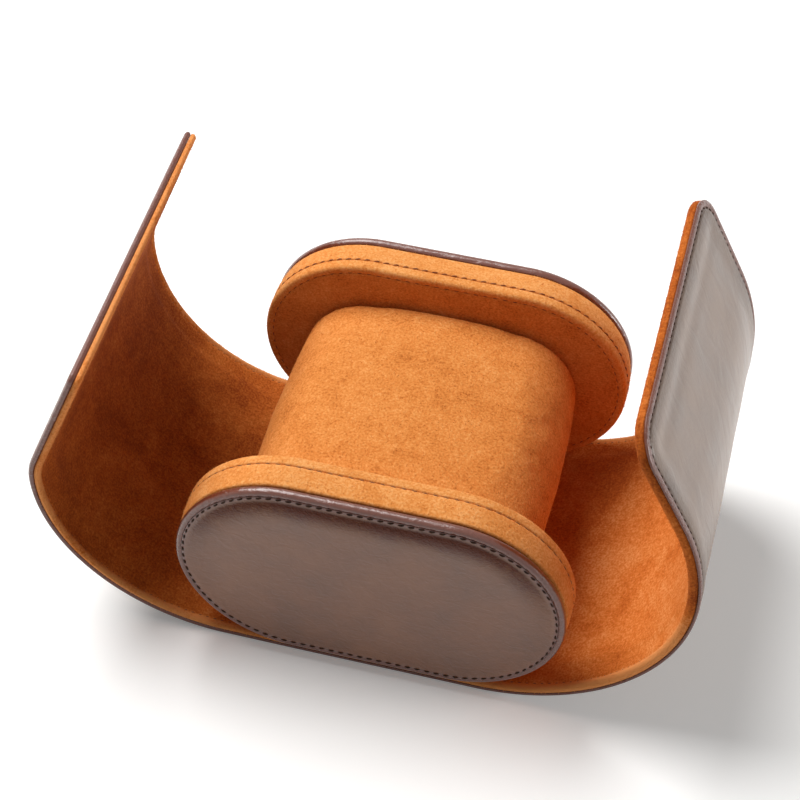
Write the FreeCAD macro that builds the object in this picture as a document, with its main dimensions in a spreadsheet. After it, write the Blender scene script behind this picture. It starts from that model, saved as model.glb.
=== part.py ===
import FreeCAD, Part
import math
import os
from collections import namedtuple

import Sketcher
from FreeCAD import Placement, Rotation, Vector

# Watch travel case: a spool of two end discs and a removable pillow, standing on one long
# strip of leather that wraps round it. Millimetres, +Z up, +Y along the pillow.
# The origin is the middle of the strip's underside, where the case rests.
# The strip runs along X: the inner flap curls up on the -X side and closes first,
# the outer flap curls up on the +X side and closes over it.

SIZES = {
    # end discs
    "disc_length": 100.0,
    "disc_height": 60.9,
    "disc_depth": 10.5,
    "piping_thickness": 2.8,
    "piping_bevel": 0.82,
    "face_bevel": 1.0,
    "rim_band_thickness": 1.0,
    "inner_face_thickness": 3.1,
    # the strip: leather cover outside, suede lining inside, boards sewn in between
    "case_width": 88.0,
    "cover_thickness": 1.75,
    "lining_thickness": 1.75,
    "board_thickness": 1.2,
    "board_margin": 3.0,
    "board_fold_gap": 0.4,
    "edge_bevel": 0.6,
    "fold_gap": 0.1,
    # inner flap, as the case stands open: flat, curl, tight crest, straight tip
    "inner_flat_slack": 19.45,
    "inner_fold_before_curl": 6.0,
    "inner_curl_slack": 18.05,
    "inner_curl_angle": 90.0,
    "inner_crest_radius": 21.0,
    "inner_crest_angle": 21.3,
    "inner_tip_length": 36.5,
    "inner_corner_radius": 2.0,
    "inner_base_closing": 39.0,
    "inner_curl_closing": 7.8,
    # outer flap
    "outer_flat_slack": 8.45,
    "outer_fold_before_curl": 2.0,
    "outer_curl_slack": 21.75,
    "outer_curl_angle": 90.0,
    "outer_crest_radius": 58.6,
    "outer_crest_angle": 26.6,
    "outer_tip_length": 28.8,
    "outer_corner_radius": 9.0,
    "outer_base_closing": 17.0,
    "outer_curl_closing": 11.8,
    # magnets in the outer tip and steel keepers in the inner tip
    "magnet_length": 10.0,
    "magnet_width": 18.0,
    "magnet_from_tip": 12.6,
    "magnet_from_side": 9.0,
    # pillow
    "pillow_length": 77.0,
    "pillow_height": 41.0,
    "pillow_end_radius": 16.0,
    "pillow_clearance": 0.3,
    "pillow_cover_thickness": 1.2,
    # cutting tools run this far past the piece that they cut
    "overrun": 1.0,
}

FOLDS_PER_FLAP = 4

# the pillow's sections from its middle to its end: place along the half width, and size there
PILLOW_SECTION_SHARES = (
    (0.0, 1.0),
    (0.7, 0.98),
    (1.0, 0.94),
)

doc = FreeCAD.newDocument("watch_travel_case")
sheet = doc.addObject("Spreadsheet::Sheet", "Sizes")
for row, (alias, value) in enumerate(SIZES.items(), start=1):
    sheet.set(f"A{row}", alias)
    sheet.set(f"B{row}", str(value))
    sheet.setAlias(f"B{row}", alias)
doc.recompute()


def size(alias):
    """The value in the sheet's cell of this name."""
    return float(sheet.get(alias))


Span = namedtuple("Span", "length radius turn radius_words")
Element = namedtuple("Element", "geometry first last radius_words")

strip_thickness = size("cover_thickness") + size("lining_thickness")
disc_radius = size("disc_height") / 2
disc_straight = size("disc_length") / 2 - disc_radius
disc_centre_height = strip_thickness + disc_radius
disc_centre_words = "Sizes.cover_thickness + Sizes.lining_thickness + Sizes.disc_height / 2"
board_depth = size("cover_thickness") - size("board_thickness") / 2
board_bottom = board_depth + size("board_thickness")


# Path of a flap: the strip's outer surface, seen from the side

def flap_spans(flap):
    """The flap's outer surface from the middle of the strip to its tip, as spans of one curvature."""
    curl_radius = disc_radius + size(f"{flap}_curl_slack")
    curl_turn = math.radians(size(f"{flap}_curl_angle"))
    crest_radius = size(f"{flap}_crest_radius")
    crest_turn = math.radians(size(f"{flap}_crest_angle"))
    curl_words = f"Sizes.disc_height / 2 + Sizes.{flap}_curl_slack"
    return [
        Span(disc_straight + size(f"{flap}_flat_slack"), 0.0, 0.0, ""),
        Span(curl_radius * curl_turn, curl_radius, curl_turn, curl_words),
        Span(crest_radius * crest_turn, crest_radius, crest_turn, f"Sizes.{flap}_crest_radius"),
        Span(size(f"{flap}_tip_length"), 0.0, 0.0, ""),
    ]


def path_state(spans, station):
    """Place on the outer surface and heading, after walking station millimetres from the middle."""
    x, z, heading, walked = 0.0, 0.0, 0.0, 0.0
    for number, span in enumerate(spans):
        last = number == len(spans) - 1
        step = station - walked if last else min(station - walked, span.length)
        if span.radius:
            turned = heading + step / span.radius
            x += span.radius * (math.sin(turned) - math.sin(heading))
            z -= span.radius * (math.cos(turned) - math.cos(heading))
            heading = turned
        else:
            x += step * math.cos(heading)
            z += step * math.sin(heading)
        walked += step
        if not last and station <= walked:
            break
    return x, z, heading


def flap_point(flap, station, depth):
    """Point at a depth under the outer surface; the inner flap is on the -X side."""
    x, z, heading = path_state(flap_spans(flap), station)
    x -= math.sin(heading) * depth
    z += math.cos(heading) * depth
    return Vector(-x if flap == "inner" else x, z, 0)


def flap_length(flap):
    return sum(span.length for span in flap_spans(flap))


def fold_stations(flap):
    """The base fold on the flat just before the curl, then folds that share the flap's turn evenly."""
    spans = flap_spans(flap)
    total = sum(span.turn for span in spans)
    stations = [spans[0].length - size(f"{flap}_fold_before_curl")]
    for number in range(FOLDS_PER_FLAP):
        wanted = total * (number + 0.5) / FOLDS_PER_FLAP
        walked = 0.0
        for span in spans:
            if span.turn and wanted <= span.turn:
                stations.append(walked + wanted * span.radius)
                break
            wanted -= span.turn
            walked += span.length
    return stations


# Sketch outlines

def run_elements(flap, start, end, depth, depth_words):
    """Lines and arcs along the strip at one depth, from station start to station end."""
    elements = []
    low, high = min(start, end), max(start, end)
    spans = flap_spans(flap)
    walked = 0.0
    for number, span in enumerate(spans):
        begin = max(low, walked)
        finish = high if number == len(spans) - 1 else min(high, walked + span.length)
        if finish > begin:
            a = flap_point(flap, begin, depth)
            b = flap_point(flap, finish, depth)
            if start > end:
                a, b = b, a
            if span.radius:
                x, z, heading = path_state(spans, begin)
                centre = Vector(x - span.radius * math.sin(heading), z + span.radius * math.cos(heading), 0)
                if flap == "inner":
                    centre.x = -centre.x
                elements.append(arc_element(centre, a, b, f"{span.radius_words} - ({depth_words})"))
            else:
                elements.append(line_element(a, b))
        walked += span.length
    return elements if start < end else elements[::-1]


def line_element(a, b):
    return Element(Part.LineSegment(a, b), 1, 2, "")


def arc_element(centre, a, b, radius_words):
    """The shorter arc from a to b; an arc is always kept anticlockwise, so its ends may swap."""
    radius = (a - centre).Length
    from_angle = math.atan2(a.y - centre.y, a.x - centre.x)
    to_angle = math.atan2(b.y - centre.y, b.x - centre.x)
    swapped = math.sin(to_angle - from_angle) < 0
    if swapped:
        from_angle, to_angle = to_angle, from_angle
    circle = Part.Circle(centre, Vector(0, 0, 1), radius)
    arc = Part.ArcOfCircle(circle, from_angle, to_angle)
    return Element(arc, 2 if swapped else 1, 1 if swapped else 2, radius_words)


def side_sketch(body, name):
    """An empty sketch on the body's own XZ plane: sketch X is X, sketch Y is Z."""
    sketch = body.newObject("Sketcher::SketchObject", name)
    plane = [f for f in body.Origin.OriginFeatures if f.Role == "XZ_Plane"][0]
    sketch.AttachmentSupport = [(plane, "")]
    sketch.MapMode = "FlatFace"
    return sketch


def draw_loop(sketch, elements):
    """Draw a closed loop, join its corners and bind each arc's radius to the sheet."""
    first = sketch.GeometryCount
    for element in elements:
        sketch.addGeometry(element.geometry, False)
    for number, element in enumerate(elements):
        following = (number + 1) % len(elements)
        corner = Sketcher.Constraint(
            "Coincident", first + number, element.last, first + following, elements[following].first
        )
        sketch.addConstraint(corner)
    for number, element in enumerate(elements):
        if element.radius_words:
            bend = Sketcher.Constraint("Radius", first + number, element.geometry.Radius)
            index = sketch.addConstraint(bend)
            sketch.renameConstraint(index, f"bend_{first + number}")
            sketch.setExpression(f"Constraints.bend_{first + number}", element.radius_words)


def add_pad(body, name, sketch, length_words):
    """A pad, as long each side of the sketch, with its length bound to the sheet."""
    pad = body.newObject("PartDesign::Pad", name)
    pad.Profile = sketch
    pad.SideType = "Symmetric"
    pad.setExpression("Length", length_words)
    sketch.Visibility = False
    doc.recompute()
    return pad


def add_pocket(body, name, sketch, length_words):
    """A pocket, as deep each side of the sketch, which must take something away."""
    before = body.Tip.Shape.Volume
    pocket = body.newObject("PartDesign::Pocket", name)
    pocket.Profile = sketch
    pocket.SideType = "Symmetric"
    pocket.setExpression("Length", length_words)
    sketch.Visibility = False
    doc.recompute()
    if pocket.Shape.Volume >= before:
        raise RuntimeError(f"{body.Label}: the {name} pocket takes nothing away")
    return pocket


def add_chamfer(body, name, feature, edges, size_words):
    chamfer = body.newObject("PartDesign::Chamfer", name)
    chamfer.Base = (feature, edges)
    chamfer.setExpression("Size", size_words)
    doc.recompute()
    return chamfer


def add_fillet(body, name, feature, edges, radius_words):
    fillet = body.newObject("PartDesign::Fillet", name)
    fillet.Base = (feature, edges)
    fillet.setExpression("Radius", radius_words)
    doc.recompute()
    return fillet


def edge_names(feature, test):
    """Names of the feature's edges that pass the test."""
    return [f"Edge{n}" for n, edge in enumerate(feature.Shape.Edges, start=1) if test(edge)]


def new_body(label):
    body = doc.addObject("PartDesign::Body", label)
    body.Label = label
    return body


parts = []


# The strip

def fold_offset(flap, fold, depth):
    """How far a segment's end stands back from its fold at a depth.

    The base fold turns about the lining's face and only opens its outside, so its ends are square.
    A curl fold turns about the leather's face: its ends lean back so that it can close further.
    """
    half_gap = size("fold_gap") / 2
    if fold == 0:
        return half_gap
    lean = math.tan(math.radians(size(f"{flap}_curl_closing")) / 2)
    station = fold_stations(flap)[fold]
    radius = span_radius(flap, station)
    spread = radius / (radius - depth) if radius else 1.0
    return (half_gap + depth * lean) * spread


def span_radius(flap, station):
    walked = 0.0
    for span in flap_spans(flap):
        if station <= walked + span.length:
            return span.radius
        walked += span.length
    return 0.0


def segment_outline(flap, number, top, top_words, bottom, bottom_words, set_back, past):
    """Closed outline of segment number between two depths.

    set_back moves the ends in from the folds, past moves them out, and the tip follows set_back too.
    """
    folds = fold_stations(flap)
    last = number == len(folds) - 1
    start, end = folds[number], flap_length(flap) if last else folds[number + 1]

    def near(depth):
        return start + fold_offset(flap, number, depth) + set_back - past

    def far(depth):
        if last:
            return end - (size("board_margin") if set_back or past else 0.0)
        return end - fold_offset(flap, number + 1, depth) - set_back + past

    outer = run_elements(flap, near(top), far(top), top, top_words)
    inner = run_elements(flap, far(bottom), near(bottom), bottom, bottom_words)
    far_end = line_element(flap_point(flap, far(top), top), flap_point(flap, far(bottom), bottom))
    near_end = line_element(flap_point(flap, near(bottom), bottom), flap_point(flap, near(top), top))
    return outer + [far_end] + inner + [near_end]


def tip_edges(feature, flap, station, top, bottom):
    """The two short edges through the thickness at a flap's tip."""
    a = flap_point(flap, station, top)
    b = flap_point(flap, station, bottom)
    a = Vector(a.x, 0, a.y)
    b = Vector(b.x, 0, b.y)
    reach = (a - b).Length / 4

    def is_tip(edge):
        ends = [Vector(v.X, 0, v.Z) for v in edge.Vertexes]
        if len(ends) != 2:
            return False
        straight = (ends[0] - a).Length < reach and (ends[1] - b).Length < reach
        turned = (ends[1] - a).Length < reach and (ends[0] - b).Length < reach
        return straight or turned

    return edge_names(feature, is_tip)


def skin_edges(feature, flap, number, depth):
    """The segment's outline edges on the face at this depth, without those at its folds."""
    folds = fold_stations(flap)
    last = number == len(folds) - 1
    near = folds[number] + fold_offset(flap, number, depth)
    if last:
        far = flap_length(flap)
    else:
        far = folds[number + 1] - fold_offset(flap, number + 1, depth)
    stations = [near, far]
    if last:
        stations.append(far - size(f"{flap}_corner_radius"))
    walked = 0.0
    for span in flap_spans(flap):
        walked += span.length
        if near < walked < far:
            stations.append(walked)
    places = [flap_point(flap, station, depth) for station in stations]
    close = size("fold_gap")

    def found(vertex):
        return [n for n, p in enumerate(places) if math.hypot(vertex.X - p.x, vertex.Z - p.y) < close]

    def on_outline(edge):
        ends = [found(vertex) for vertex in edge.Vertexes]
        if len(ends) != 2 or not ends[0] or not ends[1]:
            return False
        across = ends[0][0] == ends[1][0]
        return not across or (last and ends[0][0] == 1)

    return edge_names(feature, on_outline)


full_width_words = "Sizes.case_width"
board_width_words = "Sizes.case_width - 2 * Sizes.board_margin"
cover_words = ("0", "Sizes.cover_thickness")
lining_words = ("Sizes.cover_thickness", "Sizes.cover_thickness + Sizes.lining_thickness")
board_words = (
    "Sizes.cover_thickness - Sizes.board_thickness / 2",
    "Sizes.cover_thickness + Sizes.board_thickness / 2",
)
layers = {
    "cover": (0.0, size("cover_thickness"), cover_words),
    "lining": (size("cover_thickness"), strip_thickness, lining_words),
}


def build_flap_layer(flap, number, layer):
    """Leather or suede of one segment: its curved strip, with a recess for the board."""
    top, bottom, words = layers[layer]
    body = new_body(f"{flap}_flap_{layer}_{number + 1}")
    strip = side_sketch(body, "strip_profile")
    draw_loop(strip, segment_outline(flap, number, top, words[0], bottom, words[1], 0.0, 0.0))
    feature = add_pad(body, "strip", strip, full_width_words)
    if number == FOLDS_PER_FLAP:
        edges = tip_edges(feature, flap, flap_length(flap), top, bottom)
        feature = add_fillet(body, "tip_corners", feature, edges, f"Sizes.{flap}_corner_radius")
    skin_depth = top if layer == "cover" else bottom
    edges = skin_edges(feature, flap, number, skin_depth)
    add_chamfer(body, "turned_edge", feature, edges, "Sizes.edge_bevel")
    recess = side_sketch(body, "board_recess_profile")
    outline = segment_outline(
        flap, number, board_depth, board_words[0], board_bottom, board_words[1], 0.0, size("overrun")
    )
    draw_loop(recess, outline)
    add_pocket(body, "board_recess", recess, board_width_words)
    parts.append(body)


def build_flap_board(flap, number, holes=None):
    label = f"{flap}_flap_board_{number + 1}"
    body = new_body(label if holes is None else f"{label}_blank")
    profile = side_sketch(body, "board_profile")
    outline = segment_outline(
        flap, number, board_depth, board_words[0], board_bottom, board_words[1], size("board_fold_gap"), 0.0
    )
    draw_loop(profile, outline)
    add_pad(body, "board", profile, board_width_words)
    if holes is None:
        parts.append(body)
        return
    board = doc.addObject("Part::Cut", label)
    board.Label = label
    board.Base = body
    board.Tool = holes
    parts.append(board)


def build_magnets(flap, label):
    """Two flat bars let into the board near the flap's tip, one each side of the middle."""
    station = flap_length(flap) - size("magnet_from_tip")
    place = flap_point(flap, station, board_depth)
    inward = flap_point(flap, station, board_bottom) - place
    direction = Vector(inward.x, 0, inward.y)
    across = Vector(0, 1, 0)
    along = across.cross(direction).normalize()
    turn = Rotation(along, across, direction, "ZYX")
    half = along * (size("magnet_length") / 2) + across * (size("magnet_width") / 2)
    offset = size("case_width") / 2 - size("magnet_from_side") - size("magnet_width") / 2
    bars = []
    for side, sign in (("front", -1), ("back", 1)):
        middle = Vector(place.x, sign * offset, place.y)
        bar = doc.addObject("Part::Box", f"{label}_{side}")
        bar.setExpression("Length", "Sizes.magnet_length")
        bar.setExpression("Width", "Sizes.magnet_width")
        bar.setExpression("Height", "Sizes.board_thickness")
        bar.Placement = Placement(middle - half, turn)
        bars.append(bar)
    pair = doc.addObject("Part::Compound", label)
    pair.Label = label
    pair.Links = bars
    parts.append(pair)
    return pair


def base_outline(top, bottom, back):
    """Rectangle under the discs, from the inner flap's base fold to the outer flap's."""
    left = -(fold_stations("inner")[0] - back)
    right = fold_stations("outer")[0] - back
    ring = ((left, top), (right, top), (right, bottom), (left, bottom))
    corners = [Vector(x, z, 0) for x, z in ring]
    return [line_element(a, b) for a, b in zip(corners, corners[1:] + corners[:1])]


def is_long_edge(edge, height):
    """Whether an edge of the base runs along X at this height."""
    box = edge.BoundBox
    low = abs(box.ZMin - height) < size("fold_gap") and abs(box.ZMax - height) < size("fold_gap")
    return low and box.XMax - box.XMin > disc_straight


def build_base():
    gap = size("fold_gap") / 2
    for layer, (top, bottom, words) in layers.items():
        body = new_body(f"base_{layer}")
        sketch = side_sketch(body, "base_profile")
        draw_loop(sketch, base_outline(top, bottom, gap))
        pad = add_pad(body, "base", sketch, full_width_words)
        skin_height = top if layer == "cover" else bottom
        edges = edge_names(pad, lambda edge: is_long_edge(edge, skin_height))
        add_chamfer(body, "turned_edge", pad, edges, "Sizes.edge_bevel")
        recess = side_sketch(body, "board_recess_profile")
        draw_loop(recess, base_outline(board_depth, board_bottom, -size("overrun")))
        add_pocket(body, "board_recess", recess, board_width_words)
        parts.append(body)
    board = new_body("base_board")
    sketch = side_sketch(board, "board_profile")
    draw_loop(sketch, base_outline(board_depth, board_bottom, gap + size("board_fold_gap")))
    add_pad(board, "board", sketch, board_width_words)
    parts.append(board)


# End discs

def draw_stadium(sketch, inset, inset_words, tag):
    """A long round-ended outline about the origin, set in from the disc's edge."""
    radius = disc_radius - inset
    right = Vector(disc_straight, 0, 0)
    left = Vector(-disc_straight, 0, 0)
    up = Vector(0, radius, 0)
    quarter = math.pi / 2
    normal = Vector(0, 0, 1)
    first = sketch.GeometryCount
    sketch.addGeometry(Part.ArcOfCircle(Part.Circle(right, normal, radius), -quarter, quarter), False)
    sketch.addGeometry(Part.LineSegment(right + up, left + up), False)
    sketch.addGeometry(Part.ArcOfCircle(Part.Circle(left, normal, radius), quarter, 3 * quarter), False)
    sketch.addGeometry(Part.LineSegment(left - up, right - up), False)
    for number in range(4):
        following = first + (number + 1) % 4
        sketch.addConstraint(Sketcher.Constraint("Tangent", first + number, 2, following, 1))
    sketch.addConstraint(Sketcher.Constraint("Equal", first, first + 2))
    sketch.addConstraint(Sketcher.Constraint("Symmetric", first, 3, first + 2, 3, -1, 1))
    sketch.addConstraint(Sketcher.Constraint("PointOnObject", first, 3, -1))
    end = sketch.addConstraint(Sketcher.Constraint("Radius", first, radius))
    sketch.renameConstraint(end, f"end_radius_{tag}")
    sketch.setExpression(f"Constraints.end_radius_{tag}", f"Sizes.disc_height / 2 - ({inset_words})")
    span = sketch.addConstraint(Sketcher.Constraint("DistanceX", first + 2, 3, first, 3, 2 * disc_straight))
    sketch.renameConstraint(span, f"centre_distance_{tag}")
    sketch.setExpression(f"Constraints.centre_distance_{tag}", "Sizes.disc_length - Sizes.disc_height")


def disc_layer(side, name, outside_words, from_words, to_words, hole_words=None):
    """One layer of an end disc, between two depths from the disc's outer face."""
    body = new_body(f"{side}_disc_{name}")
    sketch = side_sketch(body, f"{name}_outline")
    draw_stadium(sketch, words_value(outside_words), outside_words, "outer")
    if hole_words:
        draw_stadium(sketch, words_value(hole_words), hole_words, "hole")
    pad = add_pad(body, name, sketch, f"({to_words}) - ({from_words})")
    sign = -1 if side == "front" else 1
    middle = f"(({from_words}) + ({to_words})) / 2"
    body.Placement = Placement(Vector(0, 0, 0), Rotation(Vector(0, 0, 1), 0 if side == "front" else 180))
    body.setExpression("Placement.Base.y", f"{sign} * (Sizes.case_width / 2 - {middle})")
    body.setExpression("Placement.Base.z", disc_centre_words)
    doc.recompute()
    parts.append(body)
    return body, pad


def words_value(words):
    """The number that a named size of the sheet, or a plain number, stands for."""
    return size(words.removeprefix("Sizes.")) if words.startswith("Sizes.") else float(words)


def rim_edges(pad):
    """Edges of the pad's outer outline, on its face away from the pillow."""
    whole = pad.Shape.BoundBox
    close = whole.YLength / 10

    def on_rim(edge):
        box = edge.BoundBox
        height = abs(edge.Vertexes[0].Z)
        return box.YMax < whole.YMin + close and abs(height - whole.ZMax) < close

    return edge_names(pad, on_rim)


def build_disc(side):
    """Leather face, piping round it, board core, suede band round the rim, suede inner face."""
    piping = "Sizes.piping_thickness"
    band = "Sizes.rim_band_thickness"
    depth = "Sizes.disc_depth"
    lining = "Sizes.disc_depth - Sizes.inner_face_thickness"
    body, pad = disc_layer(side, "leather_face", piping, "0", piping)
    add_chamfer(body, "soft_edge", pad, rim_edges(pad), "Sizes.face_bevel")
    body, pad = disc_layer(side, "piping", "0", "0", piping, hole_words=piping)
    add_chamfer(body, "round_edge", pad, rim_edges(pad), "Sizes.piping_bevel")
    disc_layer(side, "core", band, piping, lining)
    disc_layer(side, "rim_band", "0", piping, lining, hole_words=band)
    disc_layer(side, "inner_face", "0", lining, depth)


# Pillow

def oval_wire(half_length, half_height, end_radius, y):
    """Four tangent arcs: broad top and bottom, tighter ends."""
    reach = half_length - end_radius
    broad = (reach ** 2 + half_height ** 2 - end_radius ** 2) / (2 * (half_height - end_radius))
    sink = broad - half_height
    join_angle = math.atan2(reach, sink)
    joins = []
    for sx, sz in ((1, 1), (-1, 1), (-1, -1), (1, -1)):
        x = sx * broad * math.sin(join_angle)
        z = sz * (broad * math.cos(join_angle) - sink)
        joins.append(Vector(x, y, z))
    crowns = [
        Vector(0, y, half_height),
        Vector(-half_length, y, 0),
        Vector(0, y, -half_height),
        Vector(half_length, y, 0),
    ]
    edges = []
    for number, crown in enumerate(crowns):
        edges.append(Part.Arc(joins[number], crown, joins[(number + 1) % 4]).toShape())
    return Part.Wire(edges)


def pillow_form(shrink):
    """Crowned pillow, drawn in towards its two ends; shrink sets it in by a cover's thickness."""
    half_width = size("case_width") / 2 - size("disc_depth") - size("pillow_clearance")
    half_length = size("pillow_length") / 2
    half_height = size("pillow_height") / 2
    end_radius = size("pillow_end_radius")
    wires = []
    places = [(-place, share) for place, share in reversed(PILLOW_SECTION_SHARES[1:])]
    places += list(PILLOW_SECTION_SHARES)
    for place, share in places:
        a = half_length * share - shrink
        b = half_height * share - shrink
        r = end_radius * share - shrink
        wires.append(oval_wire(a, b, r, half_width * place))
    return Part.makeLoft(wires, True, True)


def build_pillow():
    """Foam core in a suede cover that is sewn from one band and two end panels."""
    half_width = size("case_width") / 2 - size("disc_depth") - size("pillow_clearance")
    thickness = size("pillow_cover_thickness")
    reach = size("pillow_length") / 2 + size("overrun")
    seam = half_width - thickness
    middle = Part.makeBox(2 * reach, 2 * seam, 2 * reach, Vector(-reach, -seam, -reach))
    outer = pillow_form(0.0)
    inner = pillow_form(thickness)
    foam = inner.common(middle)
    band = outer.common(middle).cut(foam)
    front = outer.cut(middle).Solids
    front.sort(key=lambda solid: solid.CenterOfMass.y)
    named = {
        "pillow_foam": foam.Solids[0],
        "pillow_cover_band": band.Solids[0],
        "pillow_cover_front": front[0],
        "pillow_cover_back": front[-1],
    }
    for label, shape in named.items():
        piece = doc.addObject("Part::Feature", label)
        piece.Label = label
        piece.Shape = shape
        piece.Placement = Placement(Vector(0, 0, disc_centre_height), Rotation())
        parts.append(piece)


build_base()
magnets = {
    "inner": build_magnets("inner", "inner_flap_keepers"),
    "outer": build_magnets("outer", "outer_flap_magnets"),
}
for flap in ("inner", "outer"):
    for number in range(FOLDS_PER_FLAP + 1):
        build_flap_layer(flap, number, "cover")
        build_flap_layer(flap, number, "lining")
        build_flap_board(flap, number, magnets[flap] if number == FOLDS_PER_FLAP else None)
for side in ("front", "back"):
    build_disc(side)
build_pillow()
doc.recompute()

for thing in doc.Objects:
    if "Invalid" in thing.State or "Error" in thing.State:
        raise RuntimeError(f"{thing.Label} did not build: {thing.State}")
for piece in parts:
    if piece.Shape.isNull() or not piece.Shape.isValid():
        raise RuntimeError(f"{piece.Label} has no valid shape")

os.makedirs("parts", exist_ok=True)
for piece in parts:
    piece.Shape.exportStep(f"parts/{piece.Label}.step")
print(len(parts), "parts written")
for flap in ("inner", "outer"):
    folds = [round(station, 2) for station in fold_stations(flap)]
    print(flap, "flap: length", round(flap_length(flap), 2), "folds at", folds)
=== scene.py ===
# %% [markdown]
# # A watch travel case in leather and suede
# The case is a spool: two oval end discs with a suede pillow between them, standing on one
# long strip that is leather outside and suede inside. Both ends of the strip curl up as flaps.
# The rigid solids are loaded first, and every piece below is laid over them; the pieces of the
# base, the discs and the pillow ride on their bodies, so that these looks move as the solids do.

# %% Load the solids
import math

import bmesh
import bpy
import numpy as np
from mathutils import Matrix, Vector


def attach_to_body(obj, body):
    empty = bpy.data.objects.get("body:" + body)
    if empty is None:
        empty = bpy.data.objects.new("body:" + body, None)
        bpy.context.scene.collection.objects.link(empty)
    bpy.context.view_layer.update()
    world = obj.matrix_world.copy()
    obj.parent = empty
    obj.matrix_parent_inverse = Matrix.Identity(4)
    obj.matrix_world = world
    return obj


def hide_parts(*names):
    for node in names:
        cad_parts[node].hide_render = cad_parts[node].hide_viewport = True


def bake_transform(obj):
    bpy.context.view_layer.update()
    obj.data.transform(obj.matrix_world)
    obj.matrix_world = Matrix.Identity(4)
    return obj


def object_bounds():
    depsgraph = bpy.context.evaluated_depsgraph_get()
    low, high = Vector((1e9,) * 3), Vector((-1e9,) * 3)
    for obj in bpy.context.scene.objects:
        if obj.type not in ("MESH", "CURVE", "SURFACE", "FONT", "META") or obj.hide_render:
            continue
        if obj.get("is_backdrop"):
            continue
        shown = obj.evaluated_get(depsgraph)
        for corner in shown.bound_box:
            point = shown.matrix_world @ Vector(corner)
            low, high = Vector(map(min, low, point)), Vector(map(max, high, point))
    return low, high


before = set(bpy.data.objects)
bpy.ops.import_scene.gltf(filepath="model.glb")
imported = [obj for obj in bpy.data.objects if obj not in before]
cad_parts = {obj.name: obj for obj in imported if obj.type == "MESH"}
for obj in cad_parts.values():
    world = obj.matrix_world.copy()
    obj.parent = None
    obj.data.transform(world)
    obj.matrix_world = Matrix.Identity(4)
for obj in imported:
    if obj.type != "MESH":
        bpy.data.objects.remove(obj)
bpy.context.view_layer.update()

MM = 0.001

# %% [markdown]
# ## Measures
# All of them are millimetres on the real case. A flap is a path seen from the side: a flat
# length, a wide quarter circle of curl, a crest and a straight tip. It could be a curve drawn by
# hand, but made of lines and arcs its length and every place along it are exact.
# The folds are the places where a flap is jointed.

# %% Measures
HALF_WIDTH = 44.0
STRIP_THICKNESS = 3.5
TIP_ROUND = {"inner": 2.0, "outer": 9.0}
SIDE = {"inner": -1, "outer": 1}
FLAT = {"inner": 39.0, "outer": 28.0}
CURL_RADIUS = {"inner": 48.5, "outer": 52.2}
CREST_RADIUS = {"inner": 21.0, "outer": 58.6}
CREST_DEGREES = {"inner": 21.3, "outer": 26.6}
TIP_STRAIGHT = {"inner": 36.5, "outer": 28.8}
FOLDS = {
    "inner": (33.0, 50.78, 74.33, 97.88, 117.89),
    "outer": (26.0, 41.28, 67.84, 94.39, 122.29),
}


def spans_of(flap):
    """A flap's (length, radius) pairs: flat, quarter circle, crest and tip; radius 0 is straight."""
    curl, crest = CURL_RADIUS[flap], CREST_RADIUS[flap]
    return (
        (FLAT[flap], 0.0),
        (curl * math.pi / 2, curl),
        (crest * math.radians(CREST_DEGREES[flap]), crest),
        (TIP_STRAIGHT[flap], 0.0),
    )


SPANS = {flap: spans_of(flap) for flap in SIDE}
LENGTH = {flap: sum(length for length, _ in spans) for flap, spans in SPANS.items()}

DISC_RADIUS = 30.45
DISC_STRAIGHT = 19.55
DISC_CENTRE = STRIP_THICKNESS + DISC_RADIUS
DISC_DEPTH = 10.5
print("flap lengths:", {flap: round(length, 1) for flap, length in LENGTH.items()})


# %% [markdown]
# ## The strip's own coordinates
# A place on the strip is a station (millimetres from its middle, minus towards the inner flap),
# a distance across it and a depth under the leather's surface. A flat strip with a bend modifier
# would curl too, but one function that turns whole arrays of such places into points in space
# also serves seams and stitches: each is drawn flat and lands curled.

# %% From strip coordinates to space
FAN_START = 50.0
TIP_FAN = 0.048
TIP_LEAN = 0.012


def smooth(low, high, value):
    """0 before low, 1 after high, and 3t^2 - 2t^3 between."""
    t = np.clip((value - low) / (high - low), 0, 1)
    return t * t * (3 - 2 * t)


def path_state(spans, station):
    """Point and heading after walking along the spans.

    On an arc of radius r the heading grows by step / r, and the point moves by
    r * (sin, -cos) of the new heading less the old one; on a straight it moves by the step.
    """
    starts, states = [], []
    x = z = heading = walked = 0.0
    for length, radius in spans:
        starts.append(walked)
        states.append((x, z, heading, 1 / radius if radius else 0.0))
        turned = heading + (length / radius if radius else 0.0)
        if radius:
            x += radius * (math.sin(turned) - math.sin(heading))
            z -= radius * (math.cos(turned) - math.cos(heading))
        else:
            x += length * math.cos(heading)
            z += length * math.sin(heading)
        heading = turned
        walked += length
    which = np.clip(np.searchsorted(starts, station, side="right") - 1, 0, len(spans) - 1)
    x0, z0, h0, bend = np.array(states)[which].T
    step = station - np.array(starts)[which]
    h1 = h0 + bend * step
    safe = np.where(bend == 0, 1.0, bend)
    px = x0 + np.where(bend == 0, step * np.cos(h0), (np.sin(h1) - np.sin(h0)) / safe)
    pz = z0 + np.where(bend == 0, step * np.sin(h0), -(np.cos(h1) - np.cos(h0)) / safe)
    return px, pz, h1


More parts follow.
